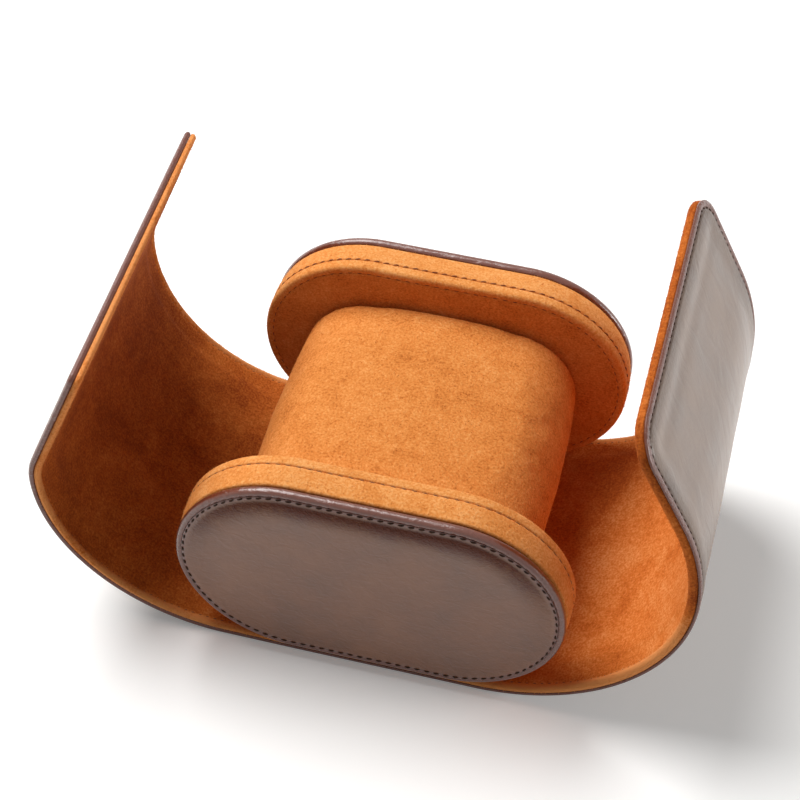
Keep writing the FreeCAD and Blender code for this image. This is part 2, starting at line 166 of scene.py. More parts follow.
def strip_point(station, across, depth):
    """Points in metres: the path's point, moved along its inward normal (-sin h, cos h) by depth.

    Towards the inner tip the soft strip fans out a little, and its two sides lean opposite ways.
    """
    station, across, depth = np.broadcast_arrays(station, across, depth)
    flat = station.ravel()
    ix, iz, ih = path_state(SPANS["inner"], -flat)
    ox, oz, oh = path_state(SPANS["outer"], flat)
    on_inner = flat < 0
    x, z, h = (np.where(on_inner, a, b) for a, b in ((ix, ox), (iz, oz), (ih, oh)))
    d = depth.ravel()
    loose = across.ravel() * smooth(FAN_START, LENGTH["inner"], -flat)
    x = (x - np.sin(h) * d) * np.where(on_inner, -1, 1) - TIP_LEAN * loose
    y = across.ravel() + TIP_FAN * loose
    z = z + np.cos(h) * d
    return (np.stack([x, y, z], axis=1) * MM).reshape(station.shape + (3,))


print("inner tip ends at", strip_point(np.array(-LENGTH["inner"]), 0.0, 0.0).round(4))

# %% Uneven surfaces
WAVE_COUNT = 7


def waves(u, v, size, seed):
    """Soft unevenness from -1 to 1: the mean of sines of about this size, their directions by the seed."""
    random = np.random.default_rng(seed)
    total = np.zeros(np.broadcast(u, v).shape)
    for _ in range(WAVE_COUNT):
        angle, phase = random.uniform(0, 2 * math.pi, 2)
        pitch = size * random.uniform(0.6, 1.7)
        total += np.sin((u * math.cos(angle) + v * math.sin(angle)) * 2 * math.pi / pitch + phase)
    return total / WAVE_COUNT


def groove(distance, place, width):
    """A bell: e to the minus ((distance - place) / width) squared."""
    return np.exp(-((distance - place) / width) ** 2)


print("waves at three places:", waves(np.array([0.0, 5.0, 10.0]), 0.0, 20, 3).round(2))


# %% [markdown]
# ## Colours and one helper for nodes
# Colours are written as the hex values that a designer would pick, and turned to the linear
# light that a shader works in. A material could be clicked together in the shader editor; here
# one small function adds a node, sets it and links it, so that a finish reads from top to bottom.

# %% Material helpers
def linear(code):
    """sRGB hex to linear RGBA: c / 12.92 near black, else ((c + 0.055) / 1.055) ^ 2.4."""
    srgb = [int(code[n:n + 2], 16) / 255 for n in (1, 3, 5)]
    return tuple(c / 12.92 if c <= 0.04045 else ((c + 0.055) / 1.055) ** 2.4 for c in srgb) + (1.0,)


def add(tree, kind, inputs=None, **settings):
    """Adds a node; an input is a plain value or another node's output socket."""
    node = tree.nodes.new(kind)
    for key, value in settings.items():
        setattr(node, key, value)
    for key, value in (inputs or {}).items():
        if isinstance(value, bpy.types.NodeSocket):
            tree.links.new(value, node.inputs[key])
        else:
            node.inputs[key].default_value = value
    return node


def new_material(name):
    """A material that holds one Principled shader, linked to the output."""
    material = bpy.data.materials.new(name)
    material.use_nodes = True
    tree = material.node_tree
    tree.nodes.clear()
    shader = add(tree, "ShaderNodeBsdfPrincipled")
    out = add(tree, "ShaderNodeOutputMaterial", {"Surface": shader.outputs[0]})
    out.location = (400, 0)
    return material, tree, shader


def ramp(tree, value, stops):
    """Colour ramp over (place, hex) stops."""
    node = add(tree, "ShaderNodeValToRGB", {"Fac": value})
    elements = node.color_ramp.elements
    while len(elements) < len(stops):
        elements.new(0.5)
    for element, (place, code) in zip(elements, stops):
        element.position = place
        element.color = linear(code)
    return node.outputs["Color"]


def per_metre(millimetres):
    """Texture scale that gives features of this size."""
    return 1 / (millimetres * MM)


print("a tan in linear light:", [round(c, 3) for c in linear("#D98A45")])


# %% [markdown]
# ## Suede
# Suede is leather brushed on its flesh side until short fibres stand up. It has no shine: light
# catches the fibre tips, so it glows at glancing angles, which sheen gives. Stroked fibres lie
# in patches, lighter or darker, and single fibres make fine specks. Hair particles could stand
# for the fibres, but at this distance noise of three sizes looks the same and costs nothing.
# Real fibres are about 0.2 mm; they are drawn at 0.6 mm, as fine as the picture can show.
# Every piece carries its place at rest as an attribute, so the pattern moves with the surface.
# Along the lining the tone is painted lighter towards the outer flap and darker towards the
# inner one: painted light and shade for how the light falls on the two flaps.

# %% Suede
MOTTLE_MM = 2.2
FIBRE_MM = 0.6
MIDDLE_TONE = 0.39
PAINTED_LIGHT_REACH = 80.0


def suede(name, tones, patch_mm, patch_share, edge_painted_light, painted_light_swing=0.0):
    """Tone = patches + mottle + specks + painted highlight and shade at the edge + painted light along the
    strip, then a ramp.
    """
    material, tree, shader = new_material(name)
    place = add(tree, "ShaderNodeAttribute", attribute_name="place").outputs["Vector"]
    edge = add(tree, "ShaderNodeAttribute", attribute_name="edge").outputs["Fac"]
    patch = add(tree, "ShaderNodeTexNoise", {
        "Vector": place, "Scale": per_metre(patch_mm), "Detail": 4.0, "Roughness": 0.62, "Distortion": 0.6,
    }).outputs["Fac"]
    mottle = add(tree, "ShaderNodeTexNoise", {
        "Vector": place, "Scale": per_metre(MOTTLE_MM), "Detail": 5.0, "Roughness": 0.7,
    }).outputs["Fac"]
    fibre = add(tree, "ShaderNodeTexNoise", {
        "Vector": place, "Scale": per_metre(FIBRE_MM), "Detail": 2.0, "Roughness": 0.6,
    }).outputs["Fac"]
    half = add(tree, "ShaderNodeMath", {0: patch, 1: patch_share, 2: MIDDLE_TONE - patch_share / 2},
               operation="MULTIPLY_ADD")
    tone = add(tree, "ShaderNodeMath", {0: mottle, 1: 0.22, 2: half.outputs[0]}, operation="MULTIPLY_ADD")
    speck = add(tree, "ShaderNodeMath", {0: fibre, 1: 0.5}, operation="SUBTRACT").outputs[0]
    flecked = add(tree, "ShaderNodeMath", {0: speck, 1: 0.55, 2: tone.outputs[0]}, operation="MULTIPLY_ADD")
    # At the edge the tone is painted lighter, a painted highlight where light catches the fibres; where the
    # edge value goes below 0 it is painted shade.
    pressed = add(tree, "ShaderNodeMath", {0: edge, 1: edge_painted_light, 2: flecked.outputs[0]},
                  operation="MULTIPLY_ADD")
    # Painted light and shade along the strip: lighter towards the outer tip, darker towards the inner.
    along = add(tree, "ShaderNodeSeparateXYZ", {"Vector": place}).outputs["X"]
    painted_light_ramp = add(tree, "ShaderNodeMapRange", {
        "Value": along, "From Min": -PAINTED_LIGHT_REACH * MM, "From Max": PAINTED_LIGHT_REACH * MM,
        "To Min": -painted_light_swing, "To Max": painted_light_swing,
    })
    laid = add(tree, "ShaderNodeMath", {0: pressed.outputs[0], 1: painted_light_ramp.outputs[0]}, operation="ADD")
    tree.links.new(ramp(tree, laid.outputs[0], tones), shader.inputs["Base Color"])
    height = add(tree, "ShaderNodeMath", {0: fibre, 1: mottle}, operation="ADD")
    bump = add(tree, "ShaderNodeBump", {"Strength": 0.55, "Distance": 0.25 * MM, "Height": height.outputs[0]})
    tree.links.new(bump.outputs[0], shader.inputs["Normal"])
    shader.inputs["Roughness"].default_value = 0.95
    shader.inputs["Specular IOR Level"].default_value = 0.15
    shader.inputs["Sheen Weight"].default_value = 0.2
    shader.inputs["Sheen Roughness"].default_value = 0.45
    shader.inputs["Sheen Tint"].default_value = linear("#E58B45")
    return material


SUEDE_TONES = ((0.3, "#A55A22"), (0.45, "#CC7B38"), (0.55, "#D98A45"), (0.7, "#E8A462"))
# The lining's tones are deeper and more saturated than the pillow's: partly the lining's own colour, partly
# painted shade for the inside of the curls.
LINING_TONES = ((0.3, "#8E3F12"), (0.45, "#B45C20"), (0.55, "#C66C2A"), (0.75, "#DE9254"))
# The last numbers give the painted edge highlight and, on the lining, the painted light along the strip.
suede_tan = suede("suede_brushed_tan", SUEDE_TONES, 9.0, 0.3, 0.12)
suede_deep = suede("suede_brushed_lining", LINING_TONES, 18.0, 0.55, 0.28, painted_light_swing=0.08)
print("suedes:", suede_tan.name, suede_deep.name)


# %% [markdown]
# ## Smooth leather
# The outside is full-grain calf leather with a light finish. Its pores are about 0.3 mm, drawn
# at 0.5 mm so that they show, and its grain cells 0.8 mm, with longer creases where it has been
# bent. It is half matt: the grain breaks up the shine, and a thin clear coat keeps a soft one.
# Photographs of real leather would show the grain too, but cells and noise need no file and
# never repeat. At its turned edges the leather is rubbed, redder, and shines more, and where a
# seam draws it into small folds it is darker and duller.

# %% Leather
CELL_MM = 0.8
PORE_MM = 0.5
CLOUD_MM = 14.0
WRINKLE_MM = 1.5
LEATHER_ROUGHNESS = 0.46
EDGE_TONE = "#673321"


def leather(name, tones, crease_mm):
    """Colour: clouds + pores - folds, then a ramp and the rubbed edge. Bump: cells, creases and folds."""
    material, tree, shader = new_material(name)
    place = add(tree, "ShaderNodeAttribute", attribute_name="place").outputs["Vector"]
    edge = add(tree, "ShaderNodeAttribute", attribute_name="edge").outputs["Fac"]
    drawn = add(tree, "ShaderNodeAttribute", attribute_name="drawn").outputs["Fac"]
    wrinkle = add(tree, "ShaderNodeTexNoise", {
        "Vector": place, "Scale": per_metre(WRINKLE_MM), "Detail": 3.0, "Roughness": 0.6, "Distortion": 1.3,
    }).outputs["Fac"]
    cloud = add(tree, "ShaderNodeTexNoise", {
        "Vector": place, "Scale": per_metre(CLOUD_MM), "Detail": 4.0, "Roughness": 0.55,
    }).outputs["Fac"]
    pore = add(tree, "ShaderNodeTexNoise", {
        "Vector": place, "Scale": per_metre(PORE_MM), "Detail": 2.0,
    }).outputs["Fac"]
    cells = add(tree, "ShaderNodeTexVoronoi", {"Vector": place, "Scale": per_metre(CELL_MM)},
                feature="DISTANCE_TO_EDGE")
    along, aside = (per_metre(size) for size in crease_mm)
    stretch = add(tree, "ShaderNodeMapping", {"Vector": place, "Scale": (along, aside, aside)})
    crease = add(tree, "ShaderNodeTexNoise", {
        "Vector": stretch.outputs[0], "Scale": 1.0, "Detail": 3.0, "Roughness": 0.5, "Distortion": 0.9,
    }).outputs["Fac"]
    blotch = add(tree, "ShaderNodeMath", {0: pore, 1: 0.25, 2: cloud}, operation="MULTIPLY_ADD")
    pulled = add(tree, "ShaderNodeMath", {0: wrinkle, 1: drawn}, operation="MULTIPLY").outputs[0]
    stained = add(tree, "ShaderNodeMath", {0: pulled, 1: -1.1, 2: blotch.outputs[0]},
                  operation="MULTIPLY_ADD")
    mixed = add(tree, "ShaderNodeMix", {"Factor": edge}, data_type="RGBA")
    tones_in = [socket for socket in mixed.inputs if socket.type == "RGBA"]
    tree.links.new(ramp(tree, stained.outputs[0], tones), tones_in[0])
    tones_in[1].default_value = linear(EDGE_TONE)
    mixed_out = [socket for socket in mixed.outputs if socket.type == "RGBA"][0]
    tree.links.new(mixed_out, shader.inputs["Base Color"])
    rough = add(tree, "ShaderNodeMapRange", {
        "Value": cloud, "From Min": 0.3, "From Max": 0.7,
        "To Min": LEATHER_ROUGHNESS - 0.05, "To Max": LEATHER_ROUGHNESS + 0.09,
    })
    polished = add(tree, "ShaderNodeMath", {0: edge, 1: -0.2, 2: rough.outputs[0]}, operation="MULTIPLY_ADD")
    tree.links.new(polished.outputs[0], shader.inputs["Roughness"])
    grain = add(tree, "ShaderNodeMapRange", {
        "Value": cells.outputs["Distance"], "From Min": 0.0, "From Max": 0.25, "To Min": 0.0, "To Max": 1.0,
    })
    grain_bump = add(tree, "ShaderNodeBump", {
        "Strength": 0.16, "Distance": 0.08 * MM, "Height": grain.outputs[0],
    })
    crease_bump = add(tree, "ShaderNodeBump", {
        "Strength": 0.7, "Distance": 0.6 * MM, "Height": crease, "Normal": grain_bump.outputs[0],
    })
    bump = add(tree, "ShaderNodeBump", {
        "Strength": 1.0, "Distance": 0.8 * MM, "Height": pulled, "Normal": crease_bump.outputs[0],
    })
    tree.links.new(bump.outputs[0], shader.inputs["Normal"])
    coat = add(tree, "ShaderNodeMath", {0: drawn, 1: -0.5, 2: 0.52}, operation="MULTIPLY_ADD")
    tree.links.new(coat.outputs[0], shader.inputs["Coat Weight"])
    dulled = add(tree, "ShaderNodeMath", {0: drawn, 1: -0.4, 2: 0.5}, operation="MULTIPLY_ADD")
    tree.links.new(dulled.outputs[0], shader.inputs["Specular IOR Level"])
    shader.inputs["Coat Roughness"].default_value = 0.24
    shader.inputs["IOR"].default_value = 1.5
    return material


STRIP_LEATHER_TONES = ((0.1, "#4A3428"), (0.45, "#665040"), (0.62, "#6E5645"), (0.8, "#775F4D"))
DISC_LEATHER_TONES = ((0.1, "#52220C"), (0.45, "#6B4025"), (0.62, "#74472B"), (0.8, "#7D5034"))
leather_taupe = leather("leather_calf_taupe", STRIP_LEATHER_TONES, (11.0, 5.0))
leather_disc = leather("leather_calf_disc", DISC_LEATHER_TONES, (3.6, 2.6))
print("leathers:", leather_taupe.name, leather_disc.name)


# %% [markdown]
# ## Thread, board and metal
# The thread is waxed polyester: twisted, dark and nearly matt. Grey board is pressed paper pulp,
# with a coarse mottle. Steel strip is sheared and the magnets are nickel plated, so both are
# metals with a fine unevenness. The hidden ones are hardly ever seen, so one function with a
# single noise serves them all, where a finish of its own for each would never show.

# %% Small materials
PLAIN_BUMP_MM = 0.05


def plain(name, tones, size_mm, roughness, metallic=0.0, shine=0.5):
    """One noise of this size gives both the tone and a slight bump."""
    material, tree, shader = new_material(name)
    place = add(tree, "ShaderNodeTexCoord").outputs["Object"]
    noise = add(tree, "ShaderNodeTexNoise", {"Vector": place, "Scale": per_metre(size_mm), "Detail": 4.0})
    height = noise.outputs["Fac"]
    tree.links.new(ramp(tree, height, tones), shader.inputs["Base Color"])
    bump = add(tree, "ShaderNodeBump", {"Strength": 0.4, "Distance": PLAIN_BUMP_MM * MM, "Height": height})
    tree.links.new(bump.outputs[0], shader.inputs["Normal"])
    shader.inputs["Roughness"].default_value = roughness
    shader.inputs["Metallic"].default_value = metallic
    shader.inputs["Specular IOR Level"].default_value = shine
    return material


thread_dark = plain("thread_waxed_polyester", ((0.35, "#26150D"), (0.65, "#412818")), 0.4, 0.8, shine=0.15)
thread_brown = plain("thread_polyester_brown", ((0.35, "#6E3A16"), (0.65, "#8C5024")), 0.4, 0.7)
board_grey = plain("greyboard_pressed", ((0.35, "#80705C"), (0.65, "#A08F78")), 1.2, 0.9)
steel_plain = plain("steel_sheared_strip", ((0.35, "#8E8E92"), (0.65, "#A9A9AD")), 0.6, 0.35, metallic=1.0)
magnet_plated = plain("magnet_nickel_plated", ((0.35, "#A9A9AA"), (0.65, "#C4C4C6")), 0.6, 0.2, metallic=1.0)
print("threads:", thread_dark.name, thread_brown.name)
print("hidden finishes:", board_grey.name, steel_plain.name, magnet_plated.name)


# %% [markdown]
# ## Turning arrays into meshes
# A surface is a grid of points, rows by columns. Points could be added one by one with bmesh,
# but whole arrays are shorter to write and fast. Two grids that meet at their rims close into a
# slab. Points that fall on each other are merged, and the faces are turned to point outwards.

# %% Mesh helpers
def grid_quads(rows, columns, wrap=False, first=0):
    """Corner numbers of a grid's quads; with wrap, the last column joins the first."""
    r = np.arange(rows - 1)[:, None]
    c = np.arange(columns if wrap else columns - 1)[None, :]
    after = (c + 1) % columns
    corners = [r * columns + c, r * columns + after, (r + 1) * columns + after, (r + 1) * columns + c]
    return first + np.stack([corner + 0 * r for corner in corners], axis=-1).reshape(-1, 4)


def coordinates(mesh):
    """A mesh's points as rows of x, y, z."""
    values = np.empty(len(mesh.vertices) * 3, np.float32)
    mesh.vertices.foreach_get("co", values)
    return values.reshape(-1, 3).astype(float)


def set_place(mesh, points):
    """Keeps each point's place at rest with the mesh, for the patterns."""
    attribute = mesh.attributes.new("place", "FLOAT_VECTOR", "POINT")
    attribute.data.foreach_set("vector", points.astype(np.float32).ravel())


def make_piece(name, points, faces, material, place=None, edge=0.0, drawn=0.0, sharp=50.0):
    """A mesh object from points in metres.

    Three attributes go with it: its place at rest, its edge value (rubbed leather, painted highlight and
    shade on suede), and how far a seam has drawn it.
    """
    points = np.asarray(points, float).reshape(-1, 3)
    mesh = bpy.data.meshes.new(name)
    mesh.from_pydata(points.tolist(), [], [list(face) for face in faces])
    set_place(mesh, points if place is None else np.asarray(place, float).reshape(-1, 3))
    for word, values in (("edge", edge), ("drawn", drawn)):
        spread = np.broadcast_to(np.asarray(values, np.float32), len(points))
        mesh.attributes.new(word, "FLOAT", "POINT").data.foreach_set("value", np.ascontiguousarray(spread))
    work = bmesh.new()
    work.from_mesh(mesh)
    bmesh.ops.remove_doubles(work, verts=work.verts, dist=2e-6)
    bmesh.ops.dissolve_degenerate(work, edges=work.edges, dist=1e-7)
    bmesh.ops.recalc_face_normals(work, faces=work.faces)
    work.to_mesh(mesh)
    work.free()
    mesh.shade_smooth()
    mesh.set_sharp_from_angle(angle=math.radians(sharp))
    piece = bpy.data.objects.new(name, mesh)
    bpy.context.scene.collection.objects.link(piece)
    mesh.materials.append(material)
    return piece


print("a grid of 3 rows and 4 columns has", len(grid_quads(3, 4)), "quads")


# %% [markdown]
# ## The strip's two skins
# The real strip is two skins sewn together round stiffening boards: each skin's edge is folded
# over, so the side of the strip shows two soft rolls with a dark line between them. The suede
# is thinner along its sewn margin and swells over the boards.
# A bevelled slab would give the outline, but not the rolls and the seam's groove. So depth is
# worked out from the distance to the outline, and corners and edges come out alike.

# %% Outline of the strip
def from_tip(station):
    """How far a station is from the end of its own flap."""
    return np.where(station < 0, LENGTH["inner"] + station, LENGTH["outer"] - station)


def corner_radius(station):
    """Radius of the corners at the end of the station's own flap."""
    return np.where(station < 0, TIP_ROUND["inner"], TIP_ROUND["outer"])


def half_width(station):
    """Half the strip's width: full, less a quarter circle at each tip."""
    radius = corner_radius(station)
    into = np.clip(radius - from_tip(station), 0, radius)
    return HALF_WIDTH - radius + np.sqrt(radius ** 2 - into ** 2)


def outline_distance(station, across):
    """Distance in from a rectangle with rounded corners."""
    side = HALF_WIDTH - np.abs(across)
    tip = from_tip(station)
    radius = corner_radius(station)
    u, v = radius - side, radius - tip
    in_corner = (u > 0) & (v > 0)
    return np.maximum(np.where(in_corner, radius - np.hypot(u, v), np.minimum(side, tip)), 0)


def mitre(station, across, distance):
    """1 along the diagonal of an inner tip's corner, where the folded edges meet in a pleat."""
    diagonal = (HALF_WIDTH - np.abs(across)) - from_tip(station)
    return np.where(station < 0, groove(diagonal, 0, 0.3) * (1 - smooth(2.4, 3.4, distance)), 0.0)


def roll(distance, reach):
    """How far the surface has left the middle of the slab's edge: a quarter of an ellipse."""
    return np.sqrt(1 - (1 - np.minimum(distance / reach, 1)) ** 2)


print("half width 2 mm from the outer tip:", round(float(half_width(np.array(LENGTH["outer"] - 2.0))), 2))

# %% Faces of the skins
SEAM_INSET = 2.0
SEAM_SINK = {"leather": 0.42, "suede": 0.25}
SEAM_WIDTH = {"leather": 0.42, "suede": 0.45}
EDGE_ROLL = {"leather": 1.2, "suede": 1.5}
TURNED_IN = (2.9, 3.3)
LEATHER_UNDER, SUEDE_UNDER = 1.12, 2.38
SKINS_GAP = 0.03
SKINS_MEET = {"inner": 1.7, "outer": 1.05}
MEET_CHANGE = (-50, -15)
MARGIN = 7.4
MARGIN_SINK = 0.42
CURLED = (42, 62)


def meeting(station):
    """Depth where the two skins meet at the sewn edge."""
    share = smooth(*MEET_CHANGE, station)
    return SKINS_MEET["inner"] * (1 - share) + SKINS_MEET["outer"] * share


def leather_outside(distance, station, across):
    """Depth of the leather's face: 0 but for its rolled edge and what is sunk into it.

    Sunk are the seam's groove, a slope inside it, the corner's pleat, a trough 8.5 mm in, soft
    waves of two sizes, and a dent across the outer flap where its board ends.
    """
    middle = meeting(station) / 2
    sunk = SEAM_SINK["leather"] * groove(distance, SEAM_INSET, SEAM_WIDTH["leather"])
    sunk = sunk + 0.1 * (1 - smooth(SEAM_INSET, SEAM_INSET + 3, distance))
    sunk = sunk + 0.4 * mitre(station, across, distance) + 0.12 * groove(distance, 8.5, 2.2)
    soft = 0.22 * (waves(station, across, 26, 3) + 0.6) * smooth(4, 12, distance)
    soft = soft + 0.05 * waves(station, across * 0.5, 7, 4) * smooth(4, 9, distance)
    dent = np.where(station > 0, 0.25 * groove(from_tip(station), 9.5, 2.4), 0) * smooth(4, 12, distance)
    return middle + (sunk + soft + dent - middle) * roll(distance, EDGE_ROLL["leather"])


def leather_inside(distance, station, across):
    """Depth of the leather's back: at the meeting depth in the seam, higher over the boards."""
    meet = meeting(station) - SKINS_GAP
    under = meet + (LEATHER_UNDER - meet) * smooth(*TURNED_IN, distance)
    return meet / 2 + (under - meet / 2) * roll(distance, 0.4)


def suede_inside(distance, station, across):
    """Depth of the suede's back: at the meeting depth in the seam, lower over the boards."""
    meet = meeting(station) + SKINS_GAP
    under = meet + (SUEDE_UNDER - meet) * smooth(*TURNED_IN, distance)
    middle = (meet + STRIP_THICKNESS) / 2
    return middle + (under - middle) * roll(distance, 0.5)


def suede_outside(distance, station, across):
    """Depth of the suede's face: the strip's thickness, less its margin and seam, with soft waves.

    Where the flaps curl, the free edge swells a little.
    """
    margin = MARGIN_SINK * (1 - smooth(MARGIN - 1.2, MARGIN + 0.9, distance))
    seam = SEAM_SINK["suede"] * groove(distance, SEAM_INSET, SEAM_WIDTH["suede"])
    soft = 0.08 * (waves(station, across, 22, 5) - 1) * smooth(8, 14, distance)
    fuzz = 0.05 * waves(station, across, 1.9, 8)
    swell = groove(distance, 0.8, 0.9) * (0.45 * smooth(*CURLED, station) + 0.35 * smooth(*CURLED, -station))
    middle = (meeting(station) + STRIP_THICKNESS) / 2
    face = STRIP_THICKNESS - margin - seam + soft + fuzz + swell
    return middle + (face - middle) * roll(distance, EDGE_ROLL["suede"])


print("skins meet at depths", SKINS_MEET, "of", STRIP_THICKNESS, "mm")

# %% [markdown]
# ## A length of strip
# Both faces of a skin lie on one grid, whose columns crowd towards the sides, where the roll and
# the seam are. A subdivided mesh would need ten times the faces for the same edge. Wear and
# painted light go with the points: the leather's rolled edge is rubbed all along, and the suede's
# edge is painted paler, a painted highlight, and painted darker towards the outer tip, a painted shade.

# %% Slab of one skin
WEAR_AND_LIGHT_BAND = (1.3, 2.5)
EDGE_PAINTED_SHADE = {"leather": 0.0, "suede": 1.5}
PAINTED_SHADE_STATIONS = (85, 115)
MIDDLE_COLUMNS = 35
EDGE_STEPS = EDGE_ROLL["leather"] * (1 - np.cos(np.radians([0, 15, 30, 45, 60, 75, 90])))
MARGIN_STEPS = np.array([
    1.5, 1.8, 2.05, 2.3, 2.55, 2.8, 3.0, 3.3, 3.9, 4.7, 5.5, 6.2, 6.8, 7.4, 8.0, 8.6, 9.4, 10.4,
])
RIM_STEPS = np.concatenate([EDGE_STEPS, MARGIN_STEPS])


def columns_at(station):
    """Places across the strip: fixed steps in from each side, then even ones that fill the middle."""
    wide = half_width(station)[:, None]
    left = -wide + RIM_STEPS[None, :]
    inside = wide - RIM_STEPS[-1]
    middle = inside * np.linspace(-1, 1, MIDDLE_COLUMNS)[None, 1:-1]
    return np.concatenate([left, middle, -left[:, ::-1]], axis=1)


def strip_slab(name, stations, outside, inside, material, edge_painted_shade):
    """Two faces over the same grid of places, closed where they meet and capped where they are cut."""
    across = columns_at(stations)
    station = np.repeat(stations[:, None], across.shape[1], axis=1)
    distance = outline_distance(station, across)
    rows, columns = station.shape
    skins, places = [], []
    for depth_of in (outside, inside):
        depth = depth_of(distance, station, across)
        skins.append(strip_point(station, across, depth).reshape(-1, 3))
        places.append(np.stack([station, across, depth], axis=-1).reshape(-1, 3) * MM)
    count = rows * columns
    faces = [grid_quads(rows, columns), grid_quads(rows, columns, first=count)[:, ::-1]]
    for row in (0, rows - 1):
        start = row * columns + np.arange(columns - 1)
        faces.append(np.stack([start, start + 1, start + 1 + count, start + count], axis=1))
    # Edge value: rubbed wear on the leather; on the suede a painted highlight along the edge, which turns to
    # painted shade towards the outer tip.
    wear_and_painted_light = (1 - smooth(*WEAR_AND_LIGHT_BAND, distance.ravel())) * (1 - edge_painted_shade * smooth(*PAINTED_SHADE_STATIONS, station.ravel()))
    drawn = 0.4 * (1 - smooth(2.5, 8, distance.ravel()))
    return make_piece(name, np.concatenate(skins), np.concatenate(faces), material,
                      place=np.concatenate(places), edge=np.tile(wear_and_painted_light, 2), drawn=np.tile(drawn, 2))


print("columns across the strip:", 2 * len(RIM_STEPS) + MIDDLE_COLUMNS - 2)

# %% [markdown]
# ## Lengths of the strip
# The real strip bends anywhere, but its solids are rigid lengths with joints between them. One
# long skin with bones would bend as well. Here each flap is cut halfway between its folds.

# %% Lengths of the strip
BASE_ENDS = {"inner": 27.0, "outer": 20.0}
FIRST_BEND_ENDS = {"inner": 39.5, "outer": 33.0}
TIP_BEND = 10.0
BEND_MARGIN = 0.3
LENGTHS_PER_FLAP = 5


def stations_between(start, end, side, tip=False):
    """Rows about a millimetre apart, closer together towards a tip's edge."""
    if not tip:
        return side * np.linspace(start, end, int(round(end - start)) + 1)
    body_end = end - RIM_STEPS[-1]
    body = np.linspace(start, body_end, int(round(body_end - start)) + 1)
    return side * np.concatenate([body[:-1], end - RIM_STEPS[::-1]])


def flap_length(flap, number, start, end):
    """One length of a flap: its rows, the two bodies it joins and the stretch that bends."""
    last = number == LENGTHS_PER_FLAP - 1
    bend_end = end - BEND_MARGIN
    if number == 0:
        bend_end = FIRST_BEND_ENDS[flap]
    if last:
        bend_end = FOLDS[flap][number] + TIP_BEND
    return {
        "name": f"{flap}_{number + 1}",
        "flap": flap,
        "number": number,
        "rows": stations_between(start, end, SIDE[flap], tip=last),
        "bodies": ("base" if number == 0 else f"{flap}_flap_{number}", f"{flap}_flap_{number + 1}"),
        "bend": (start + BEND_MARGIN, bend_end),
    }


base_rows = stations_between(-BASE_ENDS["inner"], BASE_ENDS["outer"], 1)
lengths = [{"name": "base", "flap": None, "rows": base_rows}]
for flap, folds in FOLDS.items():
    cuts = [BASE_ENDS[flap]] + [(a + b) / 2 for a, b in zip(folds, folds[1:])] + [LENGTH[flap]]
    lengths += [flap_length(flap, number, *cuts[number:number + 2]) for number in range(LENGTHS_PER_FLAP)]


def attach(piece, length):
    """The base rides on the base; every other length is only baked in place."""
    if length["flap"] is None:
        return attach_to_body(piece, "base")
    side = SIDE[length["flap"]]
    start, end = (strip_point(np.array(side * s), 0.0, STRIP_THICKNESS / 2) for s in length["bend"])
    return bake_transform(piece)


print("strip lengths:", len(lengths), "rows:", sum(len(length["rows"]) for length in lengths))

# %% [markdown]
# ## Loose nap
# Along cut and rolled edges single tufts of suede stand out against the light and soften the
# outline. Hair particles would do it, but they export badly and don't follow a blend. So the
# tufts are thin three-sided spikes, set at random on the faces where they are wanted, each with
# the tone and the place of the suede under it.

# %% Nap
TUFT_WIDTH = 0.15
TUFT_ROOT = 0.08
TUFT_SHORTEST = 0.25
TUFT_LEAN = 0.6
NAP_EDGE = 1.5
NAP_START = 30


def nap(piece, per_mm2, longest, seed, wanted):
    """Spikes on a share of the faces: a random place on each, leaning at random about its normal."""
    random = np.random.default_rng(seed)
    mesh = piece.data
    corners = coordinates(mesh) / MM
    laid = np.empty(len(mesh.vertices) * 3, np.float32)
    mesh.attributes["place"].data.foreach_get("vector", laid)
    laid = laid.reshape(-1, 3) / MM
    wear_and_painted_light = np.empty(len(mesh.vertices), np.float32)
    mesh.attributes["edge"].data.foreach_get("value", wear_and_painted_light)
    fours = [face for face in mesh.polygons if len(face.vertices) == 4]
    quads = np.array([tuple(face.vertices) for face in fours])
    outward = np.array([tuple(face.normal) for face in fours])
    area = np.array([face.area for face in fours]) / MM ** 2
    chance = area * per_mm2 * wanted(laid[quads].mean(1), wear_and_painted_light[quads].mean(1), outward)
    picked = np.repeat(np.arange(len(quads)), random.poisson(chance))
    u, v = random.uniform(0, 1, (2, len(picked), 1))
    quads = quads[picked]
    weights = [(1 - u) * (1 - v), u * (1 - v), u * v, (1 - u) * v]
    roots, spots = (
        sum(weight * values[quads[:, n]] for n, weight in enumerate(weights)) for values in (corners, laid)
    )
    shade = wear_and_painted_light[quads].mean(1)
    way = outward[picked] + random.normal(0, TUFT_LEAN, roots.shape)
    way /= np.linalg.norm(way, axis=1, keepdims=True)
    side = np.cross(way, random.normal(0, 1, roots.shape))
    side /= np.linalg.norm(side, axis=1, keepdims=True)
    other = np.cross(way, side)
    feet = [roots - TUFT_ROOT * way + TUFT_WIDTH / 2 * (math.cos(turn) * side + math.sin(turn) * other)
            for turn in (0, 2 * math.pi / 3, 4 * math.pi / 3)]
    tip = roots + random.uniform(TUFT_SHORTEST, longest, (len(picked), 1)) * way
    points = np.stack(feet + [tip], axis=1).reshape(-1, 3) * MM
    shift = 4 * np.arange(len(picked))[:, None, None]
    faces = (shift + np.array([(0, 2, 1), (0, 1, 3), (1, 2, 3), (2, 0, 3)])[None]).reshape(-1, 3)
    return make_piece(f"{piece.name}_nap", points, faces, piece.data.materials[0], sharp=180.0,
                      place=np.repeat(spots, 4, axis=0) * MM, edge=np.repeat(shade, 4))


